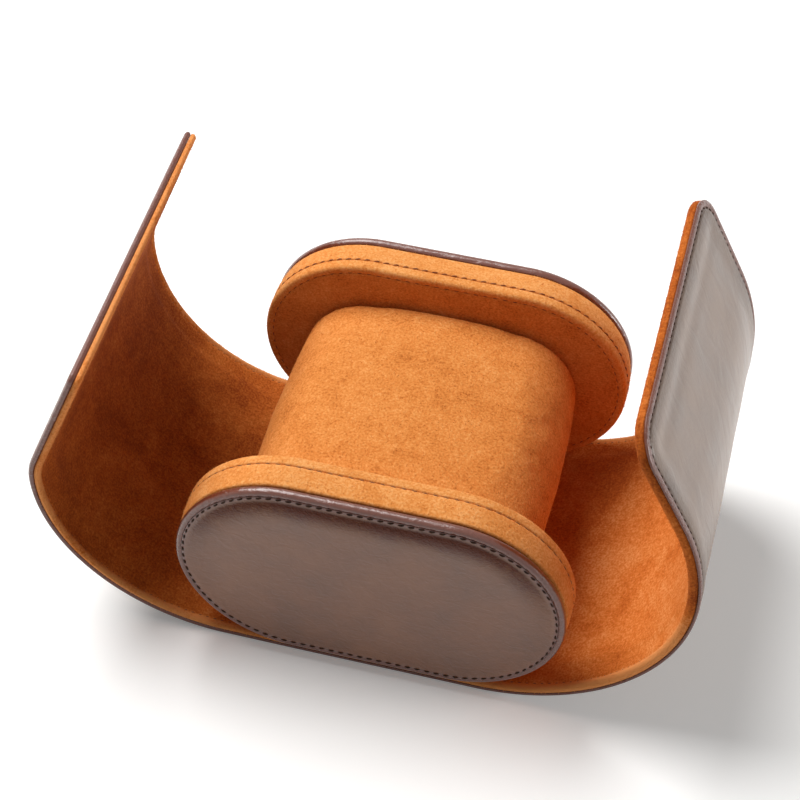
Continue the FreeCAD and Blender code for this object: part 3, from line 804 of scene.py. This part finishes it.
def free_edge(place, wear_and_painted_light, outward):
    """1 on the strip's rolled edge, away from the discs."""
    station, across = place[:, 0], place[:, 1]
    return (outline_distance(station, across) < NAP_EDGE) * (np.abs(station) > NAP_START) * 1.0


print("tufts are", TUFT_WIDTH, "mm wide and at least", TUFT_SHORTEST, "mm long")

# %% Skins of every length
SKINS = (
    ("leather", "cover", leather_outside, leather_inside, leather_taupe, "cover_leather"),
    ("suede", "lining", suede_outside, suede_inside, suede_deep, "suede"),
)

for length in lengths:
    for word, node, outside, inside, material, slot in SKINS:
        name = f"strip_{word}_{length['name']}"
        piece = strip_slab(name, length["rows"], outside, inside, material, EDGE_PAINTED_SHADE[word])
        attach(piece, length)
        if word == "suede" and length["flap"]:
            attach(nap(piece, 2.2, 0.5, len(length["rows"]), free_edge), length)
        if length["flap"] is None:
            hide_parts(f"base_{node}")
        else:
            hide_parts(f"{length['flap']}_flap_{node}_{length['number'] + 1}")
print("skins:", len(lengths) * len(SKINS))


# %% [markdown]
# ## Stitches
# A machine seam shows as separate stitches: the thread comes up, lies on the surface for about
# a millimetre and a half and goes down again, so each one is a small bent capsule with both ends
# sunk. A bump in the leather's material would be cheaper, but would vanish at the outline. One
# function draws capsules along any line on any surface, from the places of the line, and a
# second function says where such places are in space.

# %% Stitch helper
STITCH_PITCH = {"leather": 2.1, "suede": 2.1, "disc": 2.5, "disc_suede": 2.6}
STITCH_SHARE = 0.74
THREAD = {"leather": 0.42, "suede": 0.3, "disc": 0.55}
STITCH_LIFT, STITCH_SINK = 0.06, 0.35
SLANT = 0.12
TURNS = np.linspace(0, 2 * math.pi, 7)[:-1]
ALONG = np.array([-1.0, -0.82, -0.5, 0.0, 0.5, 0.82, 1.0])


def line_walk(line):
    """A line of (u, v) places closed into a loop, and the distance walked to each of them."""
    loop = np.vstack([line, line[:1]])
    return loop, np.concatenate([[0], np.cumsum(np.hypot(*np.diff(loop, axis=0).T))])


def even_places(line, pitch):
    """Centres and directions at an even pitch along a closed line of (u, v) places."""
    loop, walked = line_walk(line)
    count = int(round(walked[-1] / pitch))
    at = (np.arange(count) + 0.5) * walked[-1] / count
    centre, ahead, behind = (
        np.stack([np.interp(at + shift, walked, loop[:, n]) for n in (0, 1)], axis=1)
        for shift in (0, 0.3, -0.3)
    )
    way = ahead - behind
    return centre, way / np.linalg.norm(way, axis=1, keepdims=True)


def stitch_points(centre, way, pitch, thread, lift=STITCH_LIFT, sink=STITCH_SINK):
    """Capsules in (u, v, height): radius r * sqrt(1 - 0.85 t^2), height lift * (1 - t^2) - sink * t^2."""
    turned = way + SLANT * np.stack([-way[:, 1], way[:, 0]], axis=1)
    turned /= np.linalg.norm(turned, axis=1, keepdims=True)
    aside = np.stack([-turned[:, 1], turned[:, 0]], axis=1)
    t = ALONG[None, :, None]
    turn = TURNS[None, None, :]
    radius = thread / 2 * np.sqrt(1 - 0.85 * t ** 2)
    run = STITCH_SHARE * pitch / 2 * t + 0 * turn
    off = radius * np.cos(turn)
    up = radius * np.sin(turn) + lift * (1 - t ** 2) - sink * t ** 2
    u, v = (
        centre[:, None, None, n] + run * turned[:, None, None, n] + off * aside[:, None, None, n]
        for n in (0, 1)
    )
    return np.stack([u, v, up + 0 * u], axis=-1)


def stitch_faces(count):
    """Quads round each capsule and one face on each of its ends."""
    rings, sides = len(ALONG), len(TURNS)
    tube = grid_quads(rings, sides, wrap=True)
    block = rings * sides
    shift = (np.arange(count) * block)[:, None, None]
    quads = (tube[None] + shift).reshape(-1, 4).tolist()
    ends = np.stack([np.arange(sides)[::-1], block - sides + np.arange(sides)])
    return quads + (ends[None] + shift).reshape(-1, sides).tolist()


print("faces of one stitch:", len(stitch_faces(1)))

# %% [markdown]
# ## Seams round the strip
# The strip is sewn 2 mm in from its edge, all the way round, with dark thread on the leather and
# brown thread on the suede. The line could be taken from an edge of the mesh. It is drawn flat
# instead, as four sides and four corners, and each stitch then goes to the length it lies on.

# %% Seams round the strip
LEATHER_SEAM_DEPTH = SEAM_SINK["leather"]
SUEDE_SEAM_DEPTH = 2.8
SMALLEST_BEND = 0.1
CORNERS = (("outer", 1, math.pi / 2), ("outer", -1, 0.0), ("inner", -1, -math.pi / 2), ("inner", 1, math.pi))


def strip_seam(inset):
    """The strip's outline, this far in: four sides and four quarter circles."""
    quarter = np.linspace(0, math.pi / 2, 24)
    arcs = []
    for flap, side, start in CORNERS:
        bend = max(TIP_ROUND[flap] - inset, SMALLEST_BEND)
        x = SIDE[flap] * (LENGTH[flap] - inset - bend) + bend * np.cos(start - quarter)
        y = side * (HALF_WIDTH - inset - bend) + bend * np.sin(start - quarter)
        arcs.append(np.stack([x, y], axis=1))
    return np.concatenate(arcs)


SEAMS = (("leather", LEATHER_SEAM_DEPTH, -1, thread_dark), ("suede", SUEDE_SEAM_DEPTH, 1, thread_brown))

for word, seam_depth, direction, thread in SEAMS:
    centre, way = even_places(strip_seam(SEAM_INSET), STITCH_PITCH[word])
    stitches = stitch_points(centre, way, STITCH_PITCH[word], THREAD[word])
    for length in lengths:
        low, high = sorted((length["rows"][0], length["rows"][-1]))
        chosen = stitches[(centre[:, 0] >= low) & (centre[:, 0] < high)]
        station, across, height = chosen[..., 0], chosen[..., 1], chosen[..., 2]
        depth = seam_depth + direction * height
        place = np.stack([station, across, depth], axis=-1) * MM
        piece = make_piece(f"strip_{word}_stitches_{length['name']}", strip_point(station, across, depth),
                           stitch_faces(len(chosen)), thread, place=place, sharp=80.0)
        attach(piece, length)
    print("stitches in the", word, "face:", len(stitches))


# %% [markdown]
# ## End discs
# Each disc is a board core with a leather panel outside, a leather bead rolled round the panel's
# edge, a suede band round the rim and a suede panel facing the pillow. The panel stands a little
# proud of the strip's side. All of them follow the same stadium outline, so each is a profile
# (distance in from the rim, depth from the strip's side) carried round that outline, where a
# curve with a bevel object would cut its own corners.

# %% Stadium sweep
STRAIGHT_STEPS, ARC_STEPS = 28, 72


def stadium():
    """Middle points and outward directions: halves of a circle joined by straight runs."""
    arc = np.linspace(-math.pi / 2, math.pi / 2, ARC_STEPS, endpoint=False)
    run = np.linspace(1, -1, STRAIGHT_STEPS, endpoint=False) * DISC_STRAIGHT
    end = np.full(ARC_STEPS, DISC_STRAIGHT)
    upright = np.full(STRAIGHT_STEPS, math.pi / 2)
    middle = np.concatenate([end, run, -end, -run])
    angle = np.concatenate([arc, upright, arc + math.pi, -upright])
    return middle, np.stack([np.cos(angle), np.sin(angle)], axis=1)


MIDDLE, OUTWARD = stadium()


def stadium_line(inset):
    """The stadium's line, this far in from the rim."""
    reach = DISC_RADIUS - inset
    return np.stack([MIDDLE + reach * OUTWARD[:, 0], reach * OUTWARD[:, 1]], axis=1)


def disc_point(side, x, z, depth):
    """From places on a disc to space: depth runs from the strip's side towards the pillow."""
    y = side * (HALF_WIDTH - depth)
    return np.stack([x, y, z + DISC_CENTRE + 0 * x], axis=-1) * MM


def top_folds(inset, z):
    """How far the seam draws the leather: most just inside it, and mostly at the disc's top."""
    beside = smooth(2.8, 4.2, inset) * (1 - smooth(4.2, 12, inset))
    return beside[:, None] * (0.12 + 0.88 * smooth(0, 26, z))


def disc_piece(name, side, profile, material, edge_wear_and_light, closed=False, folds=None, sharp=50.0):
    """A profile of (inset, depth) places carried round the stadium; closed joins its two ends."""
    inset, depth = np.array(profile, float).T
    reach = DISC_RADIUS - inset[:, None]
    x = MIDDLE[None, :] + reach * OUTWARD[None, :, 0]
    z = reach * OUTWARD[None, :, 1]
    uneven = waves(x, z, 16, 11) * 0.05 * smooth(3.5, 9, inset)[:, None]
    points = disc_point(side, x, z, depth[:, None] + np.abs(uneven) + 0 * x)
    rows, columns = x.shape
    faces = grid_quads(rows, columns, wrap=True)
    if closed:
        last = (rows - 1) * columns
        c = np.arange(columns)
        after = (c + 1) % columns
        faces = np.concatenate([faces, np.stack([last + c, last + after, after, c], axis=1)])
    wear_and_painted_light = edge_wear_and_light(inset)[:, None] + 0 * x
    drawn = folds(inset, z) if folds else 0 * x
    piece = make_piece(name, points, faces, material, edge=wear_and_painted_light.ravel(), drawn=drawn.ravel(),
                       sharp=sharp)
    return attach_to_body(piece, "base")


print("places round a disc:", len(MIDDLE))

# %% Profiles of a disc's pieces
PROUD = 2.2
DRAW_IN = 0.35
PANEL_EDGE = 1.8 + DRAW_IN
STITCH_INSET = 2.2 + DRAW_IN
PANEL_LIP, PANEL_BACK = 0.9, 2.75
BEAD_MIDDLE = 1.15 + DRAW_IN
BEAD_BACK = 2.7
BAND_MIDDLE = 0.95 + DRAW_IN
BAND_ROUND = 0.75
LINING_FRONT, LINING_EDGE = 9.32, 1.03


def arc_profile(cx, cy, rx, ry, start, end, count):
    """Part of an ellipse, angles in degrees from the +inset direction."""
    angle = np.radians(np.linspace(start, end, count))
    return np.stack([cx + rx * np.cos(angle), cy + ry * np.sin(angle)], axis=1)


steps = np.array([
    8, 7, 6, 5.2, 4.9, 4.5, 4.2, 4.0, 3.8, 3.6, 3.4, 3.2, 3.0, 2.8, 2.6, 2.45, 2.35, 2.25, 2.17,
])
inward = np.concatenate([np.linspace(DISC_RADIUS, 9, 16), steps])
sewn = 0.06 * groove(inward, STITCH_INSET, 0.35) + 0.05 * (1 - smooth(STITCH_INSET, 6, inward))
sewn = sewn + 0.18 * (1 - smooth(PANEL_EDGE, PANEL_EDGE + 0.3, inward))
panel = np.vstack([
    np.stack([inward, sewn - PROUD], axis=1),
    [(PANEL_EDGE, PANEL_LIP - PROUD), (PANEL_EDGE, PANEL_BACK), (DISC_RADIUS, PANEL_BACK)],
])
bead = np.vstack([
    arc_profile(BEAD_MIDDLE, 1.42 - PROUD, 1.1, 1.3, 270, 90, 19),
    [(BEAD_MIDDLE + 1.0, BEAD_BACK - PROUD), (BEAD_MIDDLE + 1.0, 1.1 - PROUD)],
    arc_profile(BEAD_MIDDLE, 1.1 - PROUD, 1.0, 0.95, 350, 280, 8),
])
band = np.vstack([
    arc_profile(BAND_MIDDLE, 3.75 - PROUD, BAND_ROUND, BAND_ROUND, 270, 180, 7),
    [(0.35, 2.6), (0.2, 3.8), (0.12, 5.2), (0.13, 6.0)],
    arc_profile(0.75, 6.75, 0.6, 0.55, 180, 90, 6),
    [(1.35, 7.3), (1.35, 3.0 - PROUD)],
])
lining_rim = np.vstack([
    [(DISC_RADIUS, LINING_FRONT), (LINING_EDGE, LINING_FRONT), (LINING_EDGE, 7.36)],
    arc_profile(0.7, 7.9, 0.55, 0.54, 270, 180, 6),
    [(0.12, 8.6), (0.15, 9.2)],
    arc_profile(1.3, 9.35, 1.15, 1.15, 180, 90, 9),
    [(1.7, 10.55), (2.0, 10.6), (2.3, 10.3), (2.6, 10.6), (3.0, DISC_DEPTH), (4.0, DISC_DEPTH)],
    np.stack([np.linspace(5.0, DISC_RADIUS, 18), np.full(18, DISC_DEPTH)], axis=1),
])
lining_rim[:, 1] = np.minimum(lining_rim[:, 1], DISC_DEPTH)
print("profile places:", len(panel), len(bead), len(band), len(lining_rim))

# %% Wear, painted highlight and seams of the discs
RIM_SEAM_DEPTH, RIM_SEAM_INSET = 7.1, 0.2
RIM_STITCH_LIFT = 0.03
DISC_STITCH_SINK = 0.22


def panel_wear(inset):
    """Rubbed at the seam, fading within a millimetre."""
    return 1 - smooth(2.5, 3.4, inset)


def rubbed(inset):
    """Rubbed all over."""
    return np.ones(len(inset))


def rim_painted_highlight(inset):
    """Painted paler round the rim: a painted highlight where light catches the suede's fibres."""
    return 0.75 * (1 - smooth(1.2, 3.0, inset))


def outer_faces(place, wear_and_painted_light, outward):
    """1 on the rim's outside, not on its flat sides."""
    return (wear_and_painted_light > 0.5) * (outward[:, 1] ** 2 < 0.9)


def rim_stitches(side):
    """A seam round the rim: places are (way along the rim, depth), laid out along the rim's line."""
    loop, walked = line_walk(stadium_line(RIM_SEAM_INSET))
    pitch = STITCH_PITCH["disc_suede"]
    count = int(round(walked[-1] / pitch))
    at = (np.arange(count) + 0.5) * walked[-1] / count
    centre = np.stack([at, np.full(count, RIM_SEAM_DEPTH)], axis=1)
    way = np.tile((1.0, 0.0), (count, 1))
    stitches = stitch_points(centre, way, pitch, THREAD["suede"], lift=RIM_STITCH_LIFT)
    along, deep, height = stitches[..., 0] % walked[-1], stitches[..., 1], stitches[..., 2]
    outward = np.vstack([OUTWARD, OUTWARD[:1]])
    x, z = (
        np.interp(along, walked, loop[:, n]) + height * np.interp(along, walked, outward[:, n])
        for n in (0, 1)
    )
    return disc_point(side, x, z, deep), stitch_faces(count)


print("a rim's seam is", round(line_walk(stadium_line(RIM_SEAM_INSET))[1][-1], 1), "mm long")

# %% Two discs
DISC_SEAMS = (
    ("panel", STITCH_INSET, 0.1 - PROUD, -1, STITCH_PITCH["disc"], THREAD["disc"], thread_dark),
    ("lining", 2.3, 10.3, 1, STITCH_PITCH["disc_suede"], THREAD["suede"], thread_brown),
)

for word, side in (("front", -1), ("back", 1)):
    face = disc_piece(f"{word}_disc_panel", side, panel, leather_disc, panel_wear,
                      folds=top_folds)
    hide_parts(f"{word}_disc_leather_face")
    rolled = disc_piece(f"{word}_disc_bead", side, bead, leather_disc, rubbed,
                        closed=True, sharp=80.0)
    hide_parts(f"{word}_disc_piping")
    rim = disc_piece(f"{word}_disc_rim", side, band, suede_tan, rim_painted_highlight, closed=True)
    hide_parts(f"{word}_disc_rim_band")
    inner = disc_piece(f"{word}_disc_lining", side, lining_rim, suede_tan, rim_painted_highlight)
    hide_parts(f"{word}_disc_inner_face")
    for piece in (rim, inner):
        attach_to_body(nap(piece, 1.0, 0.5, 4 + side, outer_faces), "base")
    for what, inset, surface, direction, pitch, thickness, thread in DISC_SEAMS:
        centre, way = even_places(stadium_line(inset), pitch)
        stitches = stitch_points(centre, way, pitch, thickness, sink=DISC_STITCH_SINK)
        points = disc_point(side, stitches[..., 0], stitches[..., 1], surface + direction * stitches[..., 2])
        piece = make_piece(f"{word}_disc_{what}_stitches", points, stitch_faces(len(centre)), thread,
                           sharp=80.0)
        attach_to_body(piece, "base")
    points, faces = rim_stitches(side)
    piece = make_piece(f"{word}_disc_rim_stitches", points, faces, thread_brown,
                       sharp=80.0)
    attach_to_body(piece, "base")
    print(word, "disc: stitches in its last seam:", len(centre))


# %% [markdown]
# ## The pillow
# The watch is strapped round a foam pillow in a suede cover. Its section is a flat oval of four
# arcs, and it fits snugly between the discs. A rounded box would look hard. So a closed oval, a
# little too small, is blown up as cloth with a little pressure: the cover swells and tightens as
# sewn suede does. Cloth steps are tuned for things of about half a metre, so the pillow is
# simulated ten times as large and then brought back to its size.

# %% Pillow before it swells
PILLOW_HALF = (38.5, 32.0, 20.5)
PILLOW_END_ROUND = 18.7
OVAL_STEPS = 160
START_ROWS = (
    (-32.9, 0.0, 0.0), (-32.9, 4.4, 0.35), (-32.9, 3.6, 0.7), (-32.9, 2.7, 1.0), (-32.5, 2.0, 1.0),
    (-31.7, 1.5, 1.0), (-29.0, 1.15, 1.0), (-20.0, 0.95, 1.0), (-8.0, 0.85, 1.0),
)


def oval(inset):
    """Four tangent arcs by the direction of their normal: broad top and bottom, tight ends."""
    a, b, r = PILLOW_HALF[0], PILLOW_HALF[2], PILLOW_END_ROUND
    reach = a - r
    broad = (reach ** 2 + b ** 2 - r ** 2) / (2 * (b - r))
    sink = broad - b
    join = math.atan2(reach, sink)
    arcs = np.array([broad * 2 * join, r * (math.pi - 2 * join)] * 2)
    marks = np.concatenate([[0], np.cumsum(arcs)])
    at = np.linspace(0, marks[-1], OVAL_STEPS, endpoint=False)
    turns = np.array([-join, join, math.pi - join, math.pi + join, 2 * math.pi - join])
    normal = np.interp(at, marks, turns)
    on_broad = np.abs(np.cos(normal)) > math.cos(join) - 1e-9
    cx = np.where(on_broad, 0.0, np.sign(np.sin(normal)) * reach)
    cz = np.where(on_broad, -np.sign(np.cos(normal)) * sink, 0.0)
    radius = np.where(on_broad, broad, r) - inset
    return cx + radius * np.sin(normal), cz + radius * np.cos(normal)


def pillow_start():
    """Ovals in rows of (y, inset, shrink): closed at each end, and drawn in towards the ends."""
    rows = []
    for y, inset, shrink in START_ROWS:
        x, z = oval(inset)
        rows.append(np.stack([x * shrink, np.full_like(x, y), z * shrink], axis=1))
    rows += [row * (1, -1, 1) for row in rows[::-1]]
    points = np.array(rows) + (0, 0, DISC_CENTRE)
    return points.reshape(-1, 3) * MM, grid_quads(len(rows), len(rows[0]), wrap=True)


points, faces = pillow_start()
pillow = make_piece("pillow_cover", points, faces, suede_tan, sharp=180.0)
print("pillow starts with", len(pillow.data.vertices), "points")

# %% Blow the cover up
SIM_SCALE = 10.0
SIM_FRAMES = 20
SIM_VOXEL = 1.5
SWELL_CAP = 1.3
HELD_ENDS = (17, 29)


def blow_up(piece):
    """Remeshes, swells as cloth under pressure, and lets no point move further than the cap.

    Towards the ends the movement fades out, because there the discs hold the pillow.
    """
    mesh = piece.data
    middle = np.array([0, 0, DISC_CENTRE * MM])
    mesh.vertices.foreach_set("co", ((coordinates(mesh) - middle) * SIM_SCALE).astype(np.float32).ravel())
    remesh = piece.modifiers.new("remesh", "REMESH")
    remesh.mode = "VOXEL"
    remesh.voxel_size = SIM_VOXEL * MM * SIM_SCALE
    remesh.use_smooth_shade = True
    evaluated = piece.evaluated_get(bpy.context.evaluated_depsgraph_get())
    even = bpy.data.meshes.new_from_object(evaluated)
    piece.modifiers.clear()
    piece.data = even
    start = coordinates(even)
    cloth = piece.modifiers.new("cloth", "CLOTH")
    cloth.settings.quality = 6
    cloth.settings.mass = 0.3
    cloth.settings.tension_stiffness = 12
    cloth.settings.compression_stiffness = 12
    cloth.settings.bending_stiffness = 1.5
    cloth.settings.use_pressure = True
    cloth.settings.uniform_pressure_force = 4.0
    cloth.settings.effector_weights.gravity = 0.0
    cloth.point_cache.frame_start = 1
    cloth.point_cache.frame_end = SIM_FRAMES
    for step in range(1, SIM_FRAMES + 1):
        bpy.context.scene.frame_set(step)
    evaluated = piece.evaluated_get(bpy.context.evaluated_depsgraph_get())
    swollen = coordinates(evaluated.to_mesh())
    evaluated.to_mesh_clear()
    piece.modifiers.clear()
    bpy.context.scene.frame_set(1)
    move = swollen - start
    far = np.linalg.norm(move, axis=1, keepdims=True)
    limit = SWELL_CAP * MM * SIM_SCALE
    free = 1 - smooth(*HELD_ENDS, np.abs(start[:, 1:2]) / MM / SIM_SCALE)
    start = start + move * np.minimum(1, limit / np.maximum(far, 1e-9)) * free
    final = start / SIM_SCALE + middle
    even.vertices.foreach_set("co", final.astype(np.float32).ravel())
    even.update()


blow_up(pillow)
print("after the cloth:", len(pillow.data.vertices), "points")

# %% [markdown]
# ## Fitting the cover
# The blown-up cover is a little uneven and a little too full. A shrinkwrap onto the solid would
# flatten it. So its ends are smoothed, and every slice across it is brought to the half width and
# half height that the sewn cover has there: nearly full, then rounded in at the ends. Where the
# cover's band is sewn to its ends, a shallow groove runs round.

# %% Fit the cover
PILLOW_WALL = 33.3
PILLOW_TAPER = {
    0: ((0, 1.0), (20, 0.985), (28, 0.965), (31, 0.955), (32.4, 0.94), (33.0, 0.92), (33.3, 0.88)),
    2: ((0, 1.0), (20, 0.995), (28, 0.985), (31, 0.978), (32.4, 0.965), (33.0, 0.945), (33.3, 0.9)),
}
SMOOTHED_FROM = 24
SMOOTH_PASSES = 16
SLICES = 23
COVER_SEAM, COVER_SEAM_SINK = 31.6, 0.3


def finish_pillow(piece):
    """One subdivision, then each slice is scaled to its half sizes: half size * share at its place."""
    subdivide = piece.modifiers.new("subdivide", "SUBSURF")
    subdivide.levels = subdivide.render_levels = 1
    evaluated = piece.evaluated_get(bpy.context.evaluated_depsgraph_get())
    fine = bpy.data.meshes.new_from_object(evaluated)
    piece.modifiers.clear()
    piece.data = fine
    work = bmesh.new()
    work.from_mesh(fine)
    ends = [vert for vert in work.verts if abs(vert.co.y) > SMOOTHED_FROM * MM]
    for _ in range(SMOOTH_PASSES):
        bmesh.ops.smooth_vert(work, verts=ends, factor=0.5, use_axis_x=True, use_axis_y=True, use_axis_z=True)
    work.to_mesh(fine)
    work.free()
    at = coordinates(fine) / MM
    at[:, 1] *= PILLOW_WALL / np.abs(at[:, 1]).max()
    at[:, 1] = np.clip(at[:, 1], -PILLOW_WALL, PILLOW_WALL)
    away = np.abs(at[:, 1])
    marks = np.linspace(0, PILLOW_WALL, SLICES + 1)
    which = np.clip(np.searchsorted(marks, away) - 1, 0, SLICES - 1)
    for axis, centre in ((0, 0.0), (2, DISC_CENTRE)):
        reach = np.array([np.abs(at[which == n, axis] - centre).max() for n in range(SLICES)])
        wanted = PILLOW_HALF[axis] * np.interp(away, *np.array(PILLOW_TAPER[axis]).T)
        measured = np.interp(away, (marks[1:] + marks[:-1]) / 2, reach)
        at[:, axis] = centre + (at[:, axis] - centre) * wanted / measured
    out = at[:, [0, 2]] - np.array([0, DISC_CENTRE])
    far = np.linalg.norm(out, axis=1, keepdims=True)
    seam = COVER_SEAM_SINK * groove(np.abs(at[:, 1]), COVER_SEAM, 0.6)[:, None] * smooth(12, 16, far)
    at[:, [0, 2]] -= out / np.maximum(far, 1e-6) * seam
    fine.vertices.foreach_set("co", (at * MM).astype(np.float32).ravel())
    for name in ("place", "edge"):
        if name in fine.attributes:
            fine.attributes.remove(fine.attributes[name])
    set_place(fine, at * MM)
    fine.attributes.new("edge", "FLOAT", "POINT")
    fine.attributes.new("drawn", "FLOAT", "POINT")
    fine.materials.clear()
    fine.materials.append(suede_tan)
    fine.shade_smooth()
    fine.update()
    return at


def clear_of_discs(place, wear_and_painted_light, outward):
    """1 where the pillow's cover doesn't touch a disc."""
    return (np.abs(place[:, 1]) < 31.5) * 1.0


at = finish_pillow(pillow)
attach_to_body(pillow, "pillow")
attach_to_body(nap(pillow, 0.5, 0.6, 9, clear_of_discs), "pillow")
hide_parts("pillow_foam", "pillow_cover_band", "pillow_cover_front", "pillow_cover_back")
print("pillow:", len(pillow.data.vertices), "points, from", at.min(0).round(1), "to", at.max(0).round(1))

# %% [markdown]
# ## Finishes of the hidden solids
# The boards, disc cores, keepers and magnets are sewn in and keep their own solids. Pieces of
# their own would never be seen, so the solids only get their materials.

# %% Hidden solids
FINISHES = {"board": board_grey, "core": board_grey, "keepers": steel_plain, "magnets": magnet_plated}
finished = 0
for name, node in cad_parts.items():
    for word, finish in FINISHES.items():
        if word in name:
            finished += 1
            for slot in node.material_slots:
                slot.material = finish
print("hidden solids finished:", finished)

# %% [markdown]
# ## Floor and sky
# The case stands on a pale sheet that runs out to white. More light would bleach the sheet, and
# the case with it. So the sheet glows faintly for the camera and for reflections alone, less
# near the case, where its shadow has to show, and the sky does the same: white when it is
# looked at, dim where it lights the case.

# %% Floor and sky
FLOOR_REACH = 3.0
GLOW_NEAR, GLOW_FAR = 0.16, 0.7
GLOW_FROM, GLOW_TO = 0.15, 1.2
SKY_STRENGTH = 0.17

floor_mesh = bpy.data.meshes.new("floor")
corners = [(x * FLOOR_REACH, y * FLOOR_REACH, 0) for x, y in ((-1, -1), (1, -1), (1, 1), (-1, 1))]
floor_mesh.from_pydata(corners, [], [(0, 1, 2, 3)])
floor = bpy.data.objects.new("floor", floor_mesh)
bpy.context.scene.collection.objects.link(floor)
paper, tree, shader = new_material("paper_matt_white")
shader.inputs["Base Color"].default_value = linear("#F8F7F5")
shader.inputs["Roughness"].default_value = 0.9
shader.inputs["Specular IOR Level"].default_value = 0.0
shader.inputs["Emission Color"].default_value = linear("#FFFFFF")
rays = add(tree, "ShaderNodeLightPath").outputs
looked_at = add(tree, "ShaderNodeMath", {0: rays["Is Camera Ray"], 1: rays["Is Glossy Ray"]},
                operation="MAXIMUM")
ground = add(tree, "ShaderNodeTexCoord").outputs["Object"]
away = add(tree, "ShaderNodeVectorMath", {0: ground}, operation="LENGTH")
glow = add(tree, "ShaderNodeMapRange", {
    "Value": away.outputs["Value"], "From Min": GLOW_FROM, "From Max": GLOW_TO,
    "To Min": GLOW_NEAR, "To Max": GLOW_FAR,
})
lift = add(tree, "ShaderNodeMath", {0: looked_at.outputs[0], 1: glow.outputs[0]}, operation="MULTIPLY")
tree.links.new(lift.outputs[0], shader.inputs["Emission Strength"])
floor_mesh.materials.append(paper)
floor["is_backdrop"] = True

world = bpy.data.worlds.new("soft_sky")
bpy.context.scene.world = world
world.use_nodes = True
sky = world.node_tree
sky.nodes.clear()
rays = add(sky, "ShaderNodeLightPath").outputs
seen = add(sky, "ShaderNodeMath", {0: rays["Is Camera Ray"], 1: rays["Is Transmission Ray"]},
           operation="MAXIMUM")
clear = add(sky, "ShaderNodeMath", {0: seen.outputs[0], 1: rays["Is Glossy Ray"]}, operation="MAXIMUM")
strength = add(sky, "ShaderNodeMix", {"Factor": clear.outputs[0], 2: SKY_STRENGTH, 3: 1.0})
light = add(sky, "ShaderNodeBackground", {"Color": linear("#FFFFFF"), "Strength": strength.outputs[0]})
add(sky, "ShaderNodeOutputWorld", {"Surface": light.outputs[0]})
print("floor of", 2 * FLOOR_REACH, "m, sky at", SKY_STRENGTH)

# %% [markdown]
# ## Lamps
# A wide soft lamp stands high on the left and a little behind, as the bright left edges and the
# shaded inside of the left flap show. A small one low on the right lights the inside of the
# right flap. A sun would throw harder shadows than the real ones. Places are in metres.

# %% Lamps
LAMPS = (
    ("key_lamp", (-0.55, 0.28, 0.98), (0, 0, 0.04), 0.9, 18.0),
    ("right_lamp", (1.0, 0.1, 0.2), (0.1, 0, 0.06), 0.34, 5.0),
)

for name, place, aim, width, power in LAMPS:
    data = bpy.data.lights.new(name, "AREA")
    data.shape = "DISK"
    data.size = width
    data.energy = power
    holder = bpy.data.objects.new(name, data)
    holder.location = place
    holder.rotation_euler = (Vector(aim) - Vector(place)).to_track_quat("-Z", "Y").to_euler()
    bpy.context.scene.collection.objects.link(holder)
print("lamps:", [lamp[0] for lamp in LAMPS])

# %% [markdown]
# ## Camera
# The camera stands in front and above, a little to the right. Its place and lens could be found
# by eye. They were worked out from the picture's perspective instead, from the two discs and the
# flat base, as angles round a target, a distance and a focal length in pixels.

# %% Camera
AZIMUTH, ELEVATION, ROLL = (math.radians(a) for a in (13.29, 47.41, 1.45))
DISTANCE = 555.4
TARGET = Vector((-3.81, 0, 53.79)) * MM
FOCAL_PIXELS, FRAME_PIXELS = 2195.9, 800

level = math.cos(ELEVATION)
back = Vector((math.sin(AZIMUTH) * level, -math.cos(AZIMUTH) * level, math.sin(ELEVATION)))
right = Vector((math.cos(AZIMUTH), math.sin(AZIMUTH), 0))
up = back.cross(right)
right, up = math.cos(ROLL) * right + math.sin(ROLL) * up, -math.sin(ROLL) * right + math.cos(ROLL) * up
camera_data = bpy.data.cameras.new("camera")
camera_data.sensor_fit = "HORIZONTAL"
camera_data.sensor_width = 36
camera_data.lens = FOCAL_PIXELS * camera_data.sensor_width / FRAME_PIXELS
camera_data.clip_start = 0.01
camera = bpy.data.objects.new("camera", camera_data)
turn = Matrix((right, up, back)).transposed().to_4x4()
camera.matrix_world = Matrix.Translation(TARGET + back * DISTANCE * MM) @ turn
bpy.context.scene.collection.objects.link(camera)
bpy.context.scene.camera = camera
bpy.context.scene.view_settings.view_transform = "Standard"
print("camera lens:", round(camera_data.lens, 1), "mm")

# %% [markdown]
# The looks have to fit the solids, so the box of the finished case is printed. A ruler in the
# viewport would do once.

bpy.context.view_layer.update()
low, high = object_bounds()
print("visual size (mm):", [round((b - a) / MM, 1) for a, b in zip(low, high)])
